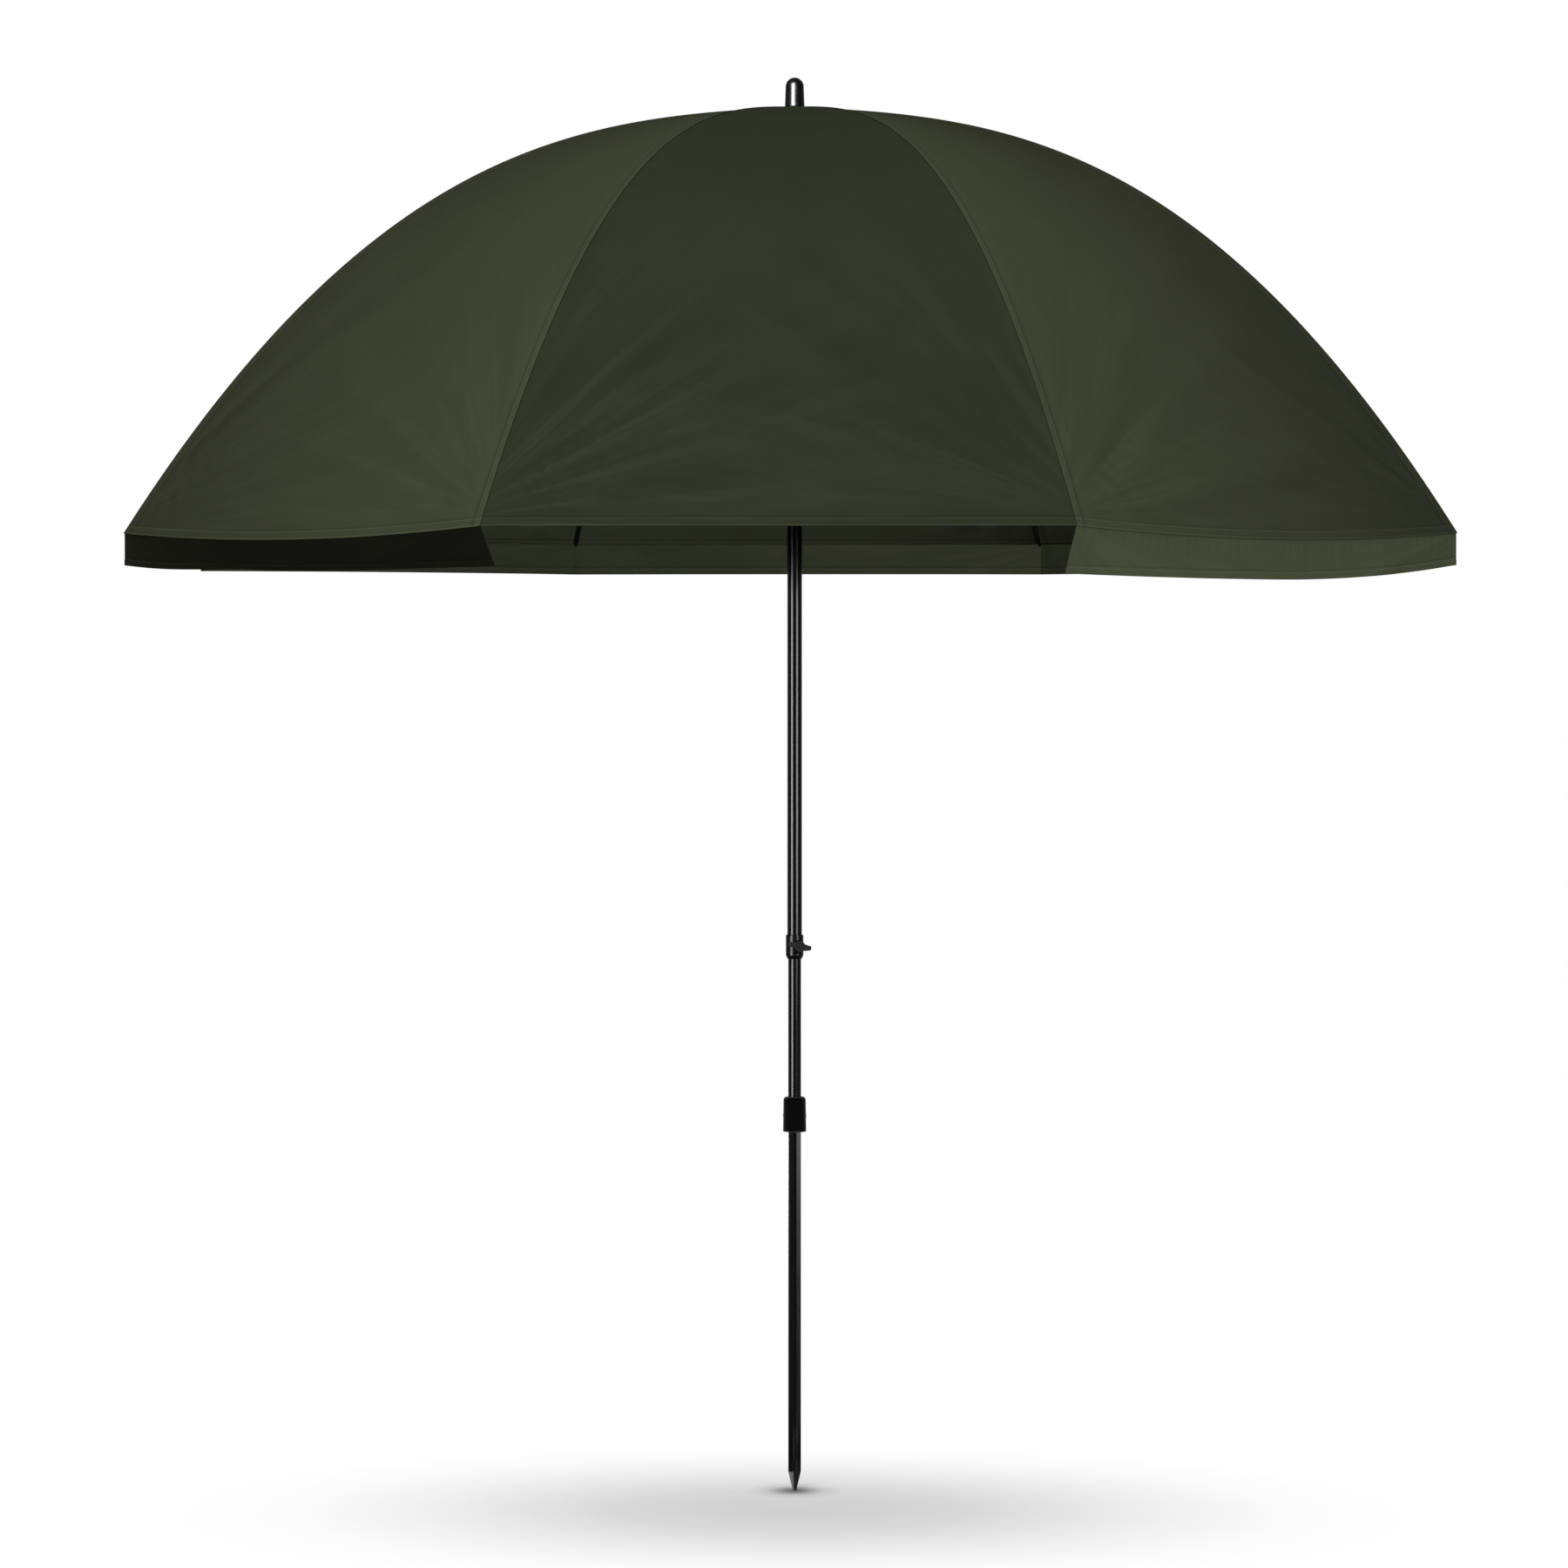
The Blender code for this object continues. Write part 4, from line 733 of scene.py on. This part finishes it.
class ClothGrid:
    """A sheet's outer face as rows of points, with what its corners carry."""

    def __init__(self, index, columns):
        self.index, self.columns = index, columns
        self.points, self.normals, self.uvs, self.sewing = [], [], [], []

    def add(self, point, normal, uv, to_seam, to_hem):
        self.points.append(to_world(self.index, point))
        self.normals.append(to_world(self.index, normal))
        self.uvs.append(uv)
        self.sewing.append(Vector((to_seam, to_hem, 0.0)))

    def rows(self):
        return [self.points[first:first + self.columns]
                for first in range(0, len(self.points), self.columns)]

    def area(self):
        total = 0.0
        for upper, lower in zip(self.rows(), self.rows()[1:]):
            for a, b, c, d in zip(upper, upper[1:], lower[1:], lower):
                total += ((b - a).cross(d - a).length + (d - c).cross(b - c).length) / 2
        return total

    def sheet(self, thickness):
        """The cloth as a closed thin mesh, shaded by the outer face's normals."""
        columns, rows = self.columns, len(self.rows())
        deselect_all()
        bpy.ops.mesh.primitive_grid_add(x_subdivisions=columns - 1, y_subdivisions=rows - 1, size=1)
        mesh = active().data
        edit_all()
        extrude(-1)
        end_edit()
        # Each vertex's layer and place in the grid say where it lies on the cloth
        spots = []
        for vertex in mesh.vertices:
            column = round((vertex.co.x + 0.5) * (columns - 1))
            row = round((vertex.co.y + 0.5) * (rows - 1))
            spots.append((vertex.co.z > -0.5, row * columns + column))
        for vertex, (is_outer, spot) in zip(mesh.vertices, spots):
            vertex.co = self.points[spot] - self.normals[spot] * (0.0 if is_outer else thickness)
        mesh.update()
        facing = sum(
            polygon.normal.dot(self.normals[spots[polygon.vertices[0]][1]])
            for polygon in mesh.polygons if all(spots[vertex][0] for vertex in polygon.vertices))
        if facing < 0:
            mesh.flip_normals()
        mesh.attributes.new("sewing", "FLOAT_VECTOR", "CORNER")
        layer, stitch = mesh.uv_layers.active, mesh.attributes["sewing"]
        normals = []
        for polygon in mesh.polygons:
            layers = {spots[vertex][0] for vertex in polygon.vertices}
            # The inner face shades the other way, and a zero leaves the rim its own normals
            sign = 0 if len(layers) == 2 else 1 if True in layers else -1
            for loop in polygon.loop_indices:
                spot = spots[mesh.loops[loop].vertex_index][1]
                layer.data[loop].uv = self.uvs[spot]
                stitch.data[loop].vector = self.sewing[spot]
                normals.append(self.normals[spot] * sign)
        mesh.shade_smooth()
        mesh.normals_split_custom_set(normals)
        return active()


def closed_share(radius):
    """How much of its width the cloth keeps at a radius when shut, so that neighbours just meet."""
    hinge = HINGE_RADIUS * math.cos(HALF_PANEL)
    out = hinge + (radius * math.cos(HALF_PANEL) - hinge) * math.cos(PANEL_FOLD)
    out -= (HINGE_HEIGHT - CROWN_HEIGHT + drop(radius)) * math.sin(PANEL_FOLD)
    return out * math.tan(HALF_PANEL) / (radius * math.sin(HALF_PANEL))


def make_band(index, band, start, end):
    # The normals come from the shape itself, so that the bands shade as one sheet
    full = partial(cloth_point, index, fullness=SHADED_FULLNESS if index else 0.0)
    grid = ClothGrid(index, len(side_columns(HALF_HEM)))
    for radius in band_rows(start, end):
        half_width, flat_down = radius * math.sin(HALF_PANEL), rib_length(radius)
        for side in side_columns(half_width):
            to_seam = half_width - abs(side) if index % 2 else NO_SEAM
            normal = normal_at(full, radius, side, 0.0012, 0.0012)
            grid.add(cloth_point(index, radius, side), normal, (side + UV_STEP * index, flat_down),
                     to_seam, RIB_ARC - flat_down)
    sheet = grid.sheet(CLOTH_THICKNESS)
    finish_piece(sheet, f"canopy_{index + 1}_band_{band + 1}", CLOTH if index else SHADED_FRONT_CLOTH,
                 f"panel_{index + 1}", (f"canopy_panel_{index + 1}",), angle=None)
    widest = max(closed_share(radius) for radius in (start, (start + end) / 2, end))
    middle = (closed_share(start) + closed_share(end)) / 2
    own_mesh(sheet)


def skirt_length(index, across):
    towards_front = max(0.0, across * OPEN_SIDES.get(index, 0))
    length = SKIRT_HEIGHT + SKIRT_FRONT_EXTRA * towards_front**2
    if index in OPEN_SIDES:
        length += SKIRT_MIDDLE_EXTRA * (1 - across * across)
    return length


def skirt_point(index, down, across):
    """A point of a skirt's outer face in the panel's frame: sewn inside the hem, then hanging."""
    run = across * HALF_HEM
    top = cloth_point(index, RIM_RADIUS, run, detail=False)
    slope = slope_at(RIM_RADIUS, 0.004, 0.0)
    under = CLOTH_THICKNESS + 0.0004
    out, up = top.x - under * math.sin(slope), top.z - under * math.cos(slope)
    if down < 0:
        return Vector((out + down * math.cos(slope), top.y, up - down * math.sin(slope)))
    length = skirt_length(index, across)
    share = down / length
    open_side = OPEN_SIDES.get(index, 0)
    free = max(0.0, across * open_side) ** 2 * share
    # Held at the ribs, free beside the front panel; between them the strip swings in under the hem
    held = smooth((1 + across * open_side) / 0.7) if open_side else 1.0 - across * across
    swing = SKIRT_SWINGS[index] * held**0.5
    lean = min(0.9, swing / length)
    out -= SKIRT_FRONT_LEAN * free + down * lean
    up -= down * math.sqrt(1 - lean * lean)
    side = top.y + SKIRT_SLANTS.get(index, 0.0) * open_side * free
    # Gathers at the sewn edge fade into soft waves lower down, and a turned edge ends the strip
    turn = 2 * math.pi * run
    gathers = math.sin(turn / 0.019 + index + 1.5 * math.sin(run * 21))
    gathers += 0.7 * math.sin(turn / 0.047 + 2 * index)
    gathers *= smooth(share / 0.12) * math.exp(-share / 0.30)
    waves = math.sin(turn / 0.23 + 1.3 * index) + 0.5 * math.sin(turn / 0.11 + index)
    still = smooth((1 - abs(across)) / 0.05)
    out += still * (GATHER_DEPTH * gathers + WAVE_DEPTH * waves * share)
    out += SKIRT_EDGE_RISE * smooth((share - 0.80) / 0.02)
    return Vector((out, side, up))


def make_skirt(index):
    surface, grid = partial(skirt_point, index), ClothGrid(index, SKIRT_COLUMNS)
    for row in range(-2, len(SKIRT_ROWS)):
        for column in range(SKIRT_COLUMNS):
            across = -1 + 2 * column / (SKIRT_COLUMNS - 1)
            length = skirt_length(index, across)
            down = row * SKIRT_TUCK / 2 if row < 0 else SKIRT_ROWS[row] * length
            # The lower edge's stitches lie 9 mm above it
            grid.add(surface(down, across), normal_at(surface, down, across, 0.0008, 0.004),
                     (across * HALF_HEM + UV_STEP * index, RIB_ARC + down),
                     NO_SEAM, length - down + HEM_STITCHES - 0.009)
    sheet = grid.sheet(SKIRT_THICKNESS)
    finish_piece(sheet, f"skirt_strip_{index + 1}", CLOTH, f"panel_{index + 1}",
                 (f"skirt_{index + 1}",), angle=None)
    length = max(skirt_length(index, across) for across in (-1, 0, 1)) + SKIRT_TUCK
    width = max(2 * HALF_HEM + 0.01, grid.area() / length)
    round(grid.area(), 5)
    closed_share(RIM_RADIUS) * SKIRT_FOLDED_SHARE
    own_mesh(sheet)


def make_crown_patch():
    """The small eight-sided patch at the crown, with its edge turned under."""
    bore, middle, edge = 0.0046, 0.0200, 0.0384
    cloth = CROWN_HEIGHT - drop(edge)
    outline = [(bore, 2.14505), (middle, 2.1434), (edge - 0.0016, cloth + 0.0012)]
    outline += [(edge, cloth + 0.0006), (edge, cloth - 0.0004), (middle, 2.1424), (bore, 2.1440)]
    patch = turned(outline, sides=PANEL_COUNT, hollow=True)
    # A corner over each rib
    set_place(patch, Matrix.Rotation(HALF_PANEL + math.pi / 2, 4, "Z"))
    finish_piece(patch, "crown_cloth_patch", CLOTH, "upper_pole", ("crown_patch",))


def make_canopy():
    for index in range(PANEL_COUNT):
        for band, (start, end) in enumerate(zip(BAND_RADII, BAND_RADII[1:])):
            make_band(index, band, start, end)
        if index:
            make_skirt(index)
    make_crown_patch()


# ---- pole and fittings


def make_top_cap():
    base, height = CROWN_HEIGHT + 0.0003, 0.0452
    top_radius, base_radius = 0.0141, 0.0152
    outline = [(base_radius - 0.0005, base), (base_radius, base + 0.0005)]
    outline += [(base_radius - 0.0002, base + 0.006)]
    outline += arc((0, base + height - top_radius), top_radius, 0, 88, 14)
    cap = turned(outline, sides=72)
    finish_piece(cap, "finial_cap", CAP_MOULDING, "upper_pole", ("top_cap",),
                 math.radians(50))


def make_tubes():
    for level, outer, bore in (("lower", 0.0100, 0.0088), ("upper", 0.0114, 0.0103)):
        low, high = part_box(f"{level}_tube")
        tube = turned(rounded_tube(outer, bore, low[2], high[2]), hollow=True)
        finish_piece(tube, f"{level}_pole_tube", ENAMEL, f"{level}_pole",
                     (f"{level}_tube",))


SCREW_AZIMUTH = math.radians(20)
SCREW_HEIGHT = 0.8497


def screw_point(distance, up=0.0):
    """A point on the wing screw's axis, or above it."""
    out, aside = distance * math.cos(SCREW_AZIMUTH), distance * math.sin(SCREW_AZIMUTH)
    return Vector((aside, -out, SCREW_HEIGHT + up))


def make_lock_collar():
    bottom, height, radius = 0.8290, 0.0373, 0.0137
    foot_bore, bore, edge = 0.0107, 0.0117, 0.0012
    top, seat = bottom + height, bottom + 0.0063
    outline = [(foot_bore, bottom), (radius - 0.0026, bottom), (radius - 0.0024, bottom + 0.0003)]
    outline += [(radius - 0.0002, bottom + 0.0050), (radius, bottom + 0.0055)]
    outline += arc((radius - edge, top - edge), edge, 0, 90, 5)
    outline += [(bore, top), (bore, seat), (foot_bore, seat)]
    collar = turned(outline, hollow=True)
    # The boss, and the moulding that swells under it and runs out before the collar's foot
    for size, start, end, up, width, segments in (
        (0.0088, 0.0120, 0.0205, 0.0, 0.0016, 4),
        (0.0072, 0.0100, 0.0182, -0.0052, 0.0030, 5),
    ):
        lump = peg(size, screw_point(start, up), screw_point(end, up), 48)
        bevel(lump, width, segments)
        cut(collar, lump, "UNION")
    screw_hole = peg(0.0027, screw_point(0.0100), screw_point(0.0260))
    cut(collar, screw_hole)
    finish_piece(collar, "pole_lock_collar", BLACK_MOULDING, "upper_pole",
                 ("lock_collar", "lock_nut"), ROUNDER)


def wing_outline():
    """Two offset rounded blades, each the half-turn image of the other."""
    reach, tip, offset, hub = 0.0184, 0.0041, 0.0030, 0.0076
    # From under the hub along the lower edge to the tip, round it, and back to the hub's side
    steps = [step / 14 for step in range(14)]
    half = [(share * (reach - tip), -hub + (hub - tip - offset) * smooth(share)) for share in steps]
    half += arc((reach - tip, -offset), tip, -90, 62, 9)
    x, y = half[-1]
    half += [(x + (hub * 0.92 - x) * share, y + (offset - y) * smooth(share))
             for share in steps[1:]]
    return half + [(-x, -y) for x, y in half]


def make_wing_screw():
    """A moulded wing head with a ring and a round recess on its face, and a steel screw."""
    shank, tip, start, end = 0.0025, 0.0103, 0.0215, 0.0300
    hub, recess, wing_top, blade = 0.0077, 0.0050, 0.0280, 0.0046
    outline = [(shank, tip), (shank, start), (hub - 0.0008, start), (hub, start + 0.0008)]
    outline += arc((hub - 0.0006, end - 0.0006), 0.0006, 0, 90, 4)
    outline += [(recess + 0.0003, end), (recess, end - 0.0003), (recess - 0.0003, end - 0.0026)]
    outline += [(0.0022, end - 0.0027), (0.0019, end - 0.0022), (0.0004, end - 0.0022)]
    head = turned(outline, sides=56)
    deselect_all()
    points = wing_outline()
    bpy.ops.mesh.primitive_circle_add(vertices=len(points), radius=1, fill_type="NGON")
    wings = active()
    for vertex, (x, y) in zip(wings.data.vertices, points):
        vertex.co = (x, y, wing_top - blade)
    edit_all()
    extrude(blade)
    face_outwards()
    bevel(wings, 0.0009, segments=3, angle=50)
    cut(head, wings, "UNION")
    lay = Matrix.Rotation(SCREW_AZIMUTH, 4, "Z") @ Matrix.Rotation(math.pi / 2, 4, "X")
    set_place(head, Matrix.Translation((0, 0, SCREW_HEIGHT)) @ lay)
    finish_piece(head, "wing_lock_screw", GREY_MOULDING, "wing_screw",
                 ("wing_screw",), ROUNDER)


def make_spike_collar():
    bottom, top, socket_top = 0.5605, 0.6147, 0.5920
    rim, wall, socket, bore, shoulder = 0.0182, 0.0174, 0.0122, 0.0103, 0.0055
    outline = [(socket, bottom + 0.0040), (0.0160, bottom), (0.0178, bottom)]
    outline += [(rim, bottom + 0.0004), (rim, bottom + 0.0022), (0.0180, bottom + 0.0026)]
    outline += arc((wall - shoulder, top - shoulder), shoulder, 0, 78, 9)
    outline += [(0.0112, top - 0.0001), (bore, top - 0.0006)]
    outline += [(bore, socket_top), (socket, socket_top - 0.0003)]
    collar = turned(outline, hollow=True)
    finish_piece(collar, "spike_socket_collar", SLEEVE_MOULDING, "lower_pole",
                 ("spike_collar",), ROUNDER)
    reach, pin_height = 0.0184, 0.5850
    pin = peg(0.0022, (-reach, 0, pin_height), (reach, 0, pin_height), 24)
    bevel(pin, 0.0004, segments=2)
    finish_piece(pin, "collar_cross_pin", ZINC, "lower_pole", ("collar_pin",))


SPIKE_TURN = math.radians(-36)
SPIKE_HALF = 0.0076
SPIKE_CORNER = 0.0018


def spike_section(height, share, dish):
    """Points round the bar at a share of its width: eased corners, and faces hollow by a share."""
    half, corner = SPIKE_HALF * share, SPIKE_CORNER * share
    flank, aside, eased = half * (1 - dish * 0.72), half * 0.45, half - corner * 0.3
    face = [(half, corner - half), (flank, -aside), (half * (1 - dish), 0), (flank, aside)]
    face += [(half, half - corner), (eased, eased)]
    points = []
    for quarter in range(4):
        turn = Matrix.Rotation(SPIKE_TURN + quarter * math.pi / 2, 3, "Z")
        points += [turn @ Vector((out, along, height)) for out, along in face]
    return points


def make_spike():
    """A bar whose foot is drawn in to fins and then cut to a point."""
    point_height, fins_height, bar_top, dish = 0.030, 0.130, 0.5915, 0.34
    sections = [spike_section(0.0, 0.25, 0.30), spike_section(0.0008, 0.30, 0.30)]
    for share in (step / 6 for step in range(1, 7)):
        sections.append(spike_section(point_height * share, 0.27 + 0.73 * share,
                                      0.30 + (dish - 0.30) * share))
    for share in (step / 8 for step in range(1, 9)):
        height = point_height + (fins_height - point_height) * share
        sections.append(spike_section(height, 1.0, dish * (1 - smooth(share))))
    sections.append(spike_section(bar_top, 1.0, 0.0))
    finish_piece(lofted(sections), "pointed_ground_bar", BAR_COAT, "lower_pole",
                 ("ground_spike",), math.radians(24))


def dress_nodes():
    """Better finishes for the solids whose shape stays as it is."""
    finishes = {"rib": ROD_RESIN, "stretcher": STRUT_COAT, "runner_catch": SPRING,
                "hub_wire_ring": ZINC}
    finishes |= dict.fromkeys(("rib_tip", "runner", "top_hub", "guide_plug"), BLACK_MOULDING)
    for name, node in frame["nodes"].items():
        finish = finishes.get(name.rstrip("0123456789").rstrip("_"))
        if finish:
            for material_slot in node.material_slots:
                material_slot.material = finish


# ---- stage, light and camera


def make_stage():
    """A floor as white as the backdrop to the camera, but for soft grey round the point and a
    painted shadow under it.
    """
    deselect_all()
    bpy.ops.mesh.primitive_circle_add(vertices=96, radius=9.0, fill_type="NGON")
    floor = active()
    floor.name = "floor"
    n = Finish("pale_floor")

    def length(vector):
        return n.add("ShaderNodeVectorMath", {0: vector}, operation="LENGTH").outputs["Value"]

    # The grey is measured from a little in front of the point, and depth counts more than width
    deeper = n.stretched(n.place, (1.0, 1.5, 1.0))
    shifted = n.add("ShaderNodeVectorMath", {0: deeper, 1: (0.0, 0.285, 0.0)}, operation="ADD")
    white = n.grey_ramp(length(shifted.outputs["Vector"]),
                        (0.0, 0.33), (0.27, 0.45), (0.54, 0.74), (0.75, 0.93), (0.95, 1.0))
    # A painted contact shadow: the small dark spot where the point stands, which darkens the
    # floor's colour and holds back the white
    painted_shadow_radius = 0.075
    spot = n.grey_ramp(n.times(length(n.place), 1 / painted_shadow_radius),
                       (0.0, 0.13), (0.22, 0.30), (0.60, 0.80), (1.0, 1.0))
    rays = n.add("ShaderNodeLightPath").outputs
    seen = n.math("MAXIMUM", rays["Is Camera Ray"],
                  n.math("MAXIMUM", rays["Is Glossy Ray"], rays["Is Transmission Ray"]))
    # It throws less light back at the object than its brightness would
    shade = n.mix(rays["Is Diffuse Ray"], grey(0.80), grey(0.12))
    n.set(Base_Color=n.mix(1.0, shade, spot, "MULTIPLY"), Roughness=0.9, Specular_IOR_Level=0.0)
    glow = n.add("ShaderNodeEmission", {"Color": grey(1.0), "Strength": 1.0}).outputs["Emission"]
    amount = n.times(seen, n.times(white, spot))
    mixed = n.add("ShaderNodeMixShader", {0: amount, 1: n.shader.outputs["BSDF"], 2: glow})
    n.put(n.tree.nodes["Material Output"].inputs["Surface"], mixed.outputs["Shader"])
    floor.data.materials.append(n.material)
    floor.location.z = -0.0004


def make_world():
    """White to the camera and in reflections; as a light, softer behind than in front."""
    world = bpy.data.worlds.new("white_studio")
    bpy.context.scene.world = world
    world.use_nodes = True
    n = Nodes(world.node_tree)
    rays = n.add("ShaderNodeLightPath").outputs
    seen = n.math("MAXIMUM", n.math("MAXIMUM", rays["Is Camera Ray"], rays["Is Transmission Ray"]),
                  rays["Is Glossy Ray"])
    direction = n.parts(n.add("ShaderNodeTexCoord").outputs["Generated"])
    front, above = (
        n.add("ShaderNodeMapRange", dict(enumerate(values))).outputs["Result"] for values in (
            (direction["Y"], 0.5, -0.6, WORLD_BEHIND, WORLD_IN_FRONT),
            (direction["Z"], 0.45, 0.95, 0.0, WORLD_ABOVE)))
    light = n.math("ADD", front, above)
    strength = n.add("ShaderNodeMix", {0: seen, 2: light, 3: 1.0}).outputs[0]
    background = n.tree.nodes["Background"].inputs
    n.put(background["Strength"], strength)
    n.put(background["Color"], grey(1.0))


FAR_PIECES = ("canopy_3", "canopy_4", "canopy_5", "canopy_6", "canopy_7",
              "skirt_strip_4", "skirt_strip_5", "skirt_strip_6")
POLE_PIECES = ("upper_pole_tube", "lower_pole_tube", "pole_lock_collar")

# Softboxes: name, azimuth, height, distance, width and height of the face, its radiance, the
# height on the pole that it is aimed at, the only pieces that it lights, the pieces it leaves out
SOFTBOXES = (
    ("left_softbox", -13, 3.7, 4.6, 2.4, 3.0, 6.3, 1.5, (), ("skirt_strip_8",)),
    ("right_softbox", 26, 1.5, 4.6, 2.4, 3.0, 1.0, 1.5),
    ("low_softbox", 35, 0.6, 4.0, 2.2, 1.0, 11.0, 1.4, ("skirt_strip_2", "skirt_strip_3")),
    ("skirt_softbox", 20, 0.6, 4.0, 2.2, 1.0, 20.0, 1.4,
     ("skirt_strip_4", "skirt_strip_5", "skirt_strip_6", "skirt_strip_7")),
    ("lining_softbox", 62, 0.6, 4.0, 2.2, 1.0, 16.0, 1.4, ("canopy_4", "canopy_5", "canopy_6")),
    ("rear_left_softbox", -145, 3.2, 4.6, 2.4, 3.0, 5.2, 1.5, FAR_PIECES),
    ("rear_right_softbox", 145, 3.2, 4.6, 2.4, 3.0, 2.6, 1.5, FAR_PIECES),
)
# Panels that show only as highlights
GLOSS_PANELS = (
    ("left_strip", -41, 1.45, 4.6, 2.2, 3.0, 80, 1.45, POLE_PIECES),
    ("right_strip", 40, 1.73, 4.6, 2.2, 2.33, 62, 1.73, POLE_PIECES),
    ("cap_panel", -17, 3.2, 4.6, 2.8, 4.6, 620, 2.2, ("finial_cap",)),
    ("spike_panel", 107, 1.2, 4.6, 3.0, 3.0, 15, 1.2, ("pointed_ground_bar",)),
    ("groove_panel", -112, 0.6, 4.6, 1.2, 1.6, 170, 0.4, ("pointed_ground_bar",)),
)


def make_light(name, azimuth, height, distance, width, tall, radiance, aimed, only=(), leave=()):
    """An area light, aimed at the pole; pieces are given by how their names start."""
    data = bpy.data.lights.new(name, "AREA")
    data.shape = "RECTANGLE"
    data.size, data.size_y = width, tall
    data.energy = radiance * math.pi * width * tall
    lamp = bpy.data.objects.new(name, data)
    turn = math.radians(azimuth)
    lamp.location = (distance * math.sin(turn), -distance * math.cos(turn), height)
    aim = Vector((0, 0, aimed)) - lamp.location
    lamp.rotation_euler = aim.to_track_quat("-Z", "Y").to_euler()
    bpy.context.scene.collection.objects.link(lamp)
    if only or leave:
        pieces = bpy.data.collections.new(f"{name}_pieces")
        for piece in bpy.data.objects:
            if piece.name.startswith(only or leave):
                pieces.objects.link(piece)
        for entry in pieces.collection_objects:
            entry.light_linking.link_state = "INCLUDE" if only else "EXCLUDE"
        lamp.light_linking.receiver_collection = pieces
    return lamp


def make_lights():
    for softbox in SOFTBOXES:
        make_light(*softbox).visible_glossy = False
    for panel in GLOSS_PANELS:
        make_light(*panel).visible_diffuse = False


def make_camera():
    data = bpy.data.cameras.new("photo_camera")
    data.sensor_width = SENSOR_WIDTH
    data.lens = FOCAL_PIXELS / PHOTO_WIDTH * SENSOR_WIDTH
    data.clip_end = 60
    camera = bpy.data.objects.new("photo_camera", data)
    camera.location = Matrix.Rotation(CAMERA_TURN, 3, "Z") @ Vector(CAMERA_PLACE)
    tilt = math.pi / 2 - math.atan(CAMERA_DROP_PIXELS / FOCAL_PIXELS)
    camera.rotation_euler = (tilt, 0, CAMERA_TURN)
    bpy.context.scene.collection.objects.link(camera)
    bpy.context.scene.camera = camera


make_canopy()
make_top_cap()
make_tubes()
make_lock_collar()
make_wing_screw()
make_spike_collar()
make_spike()
dress_nodes()
make_camera()
make_world()
make_lights()
make_stage()
bpy.context.scene.view_settings.view_transform = "Standard"
deselect_all()
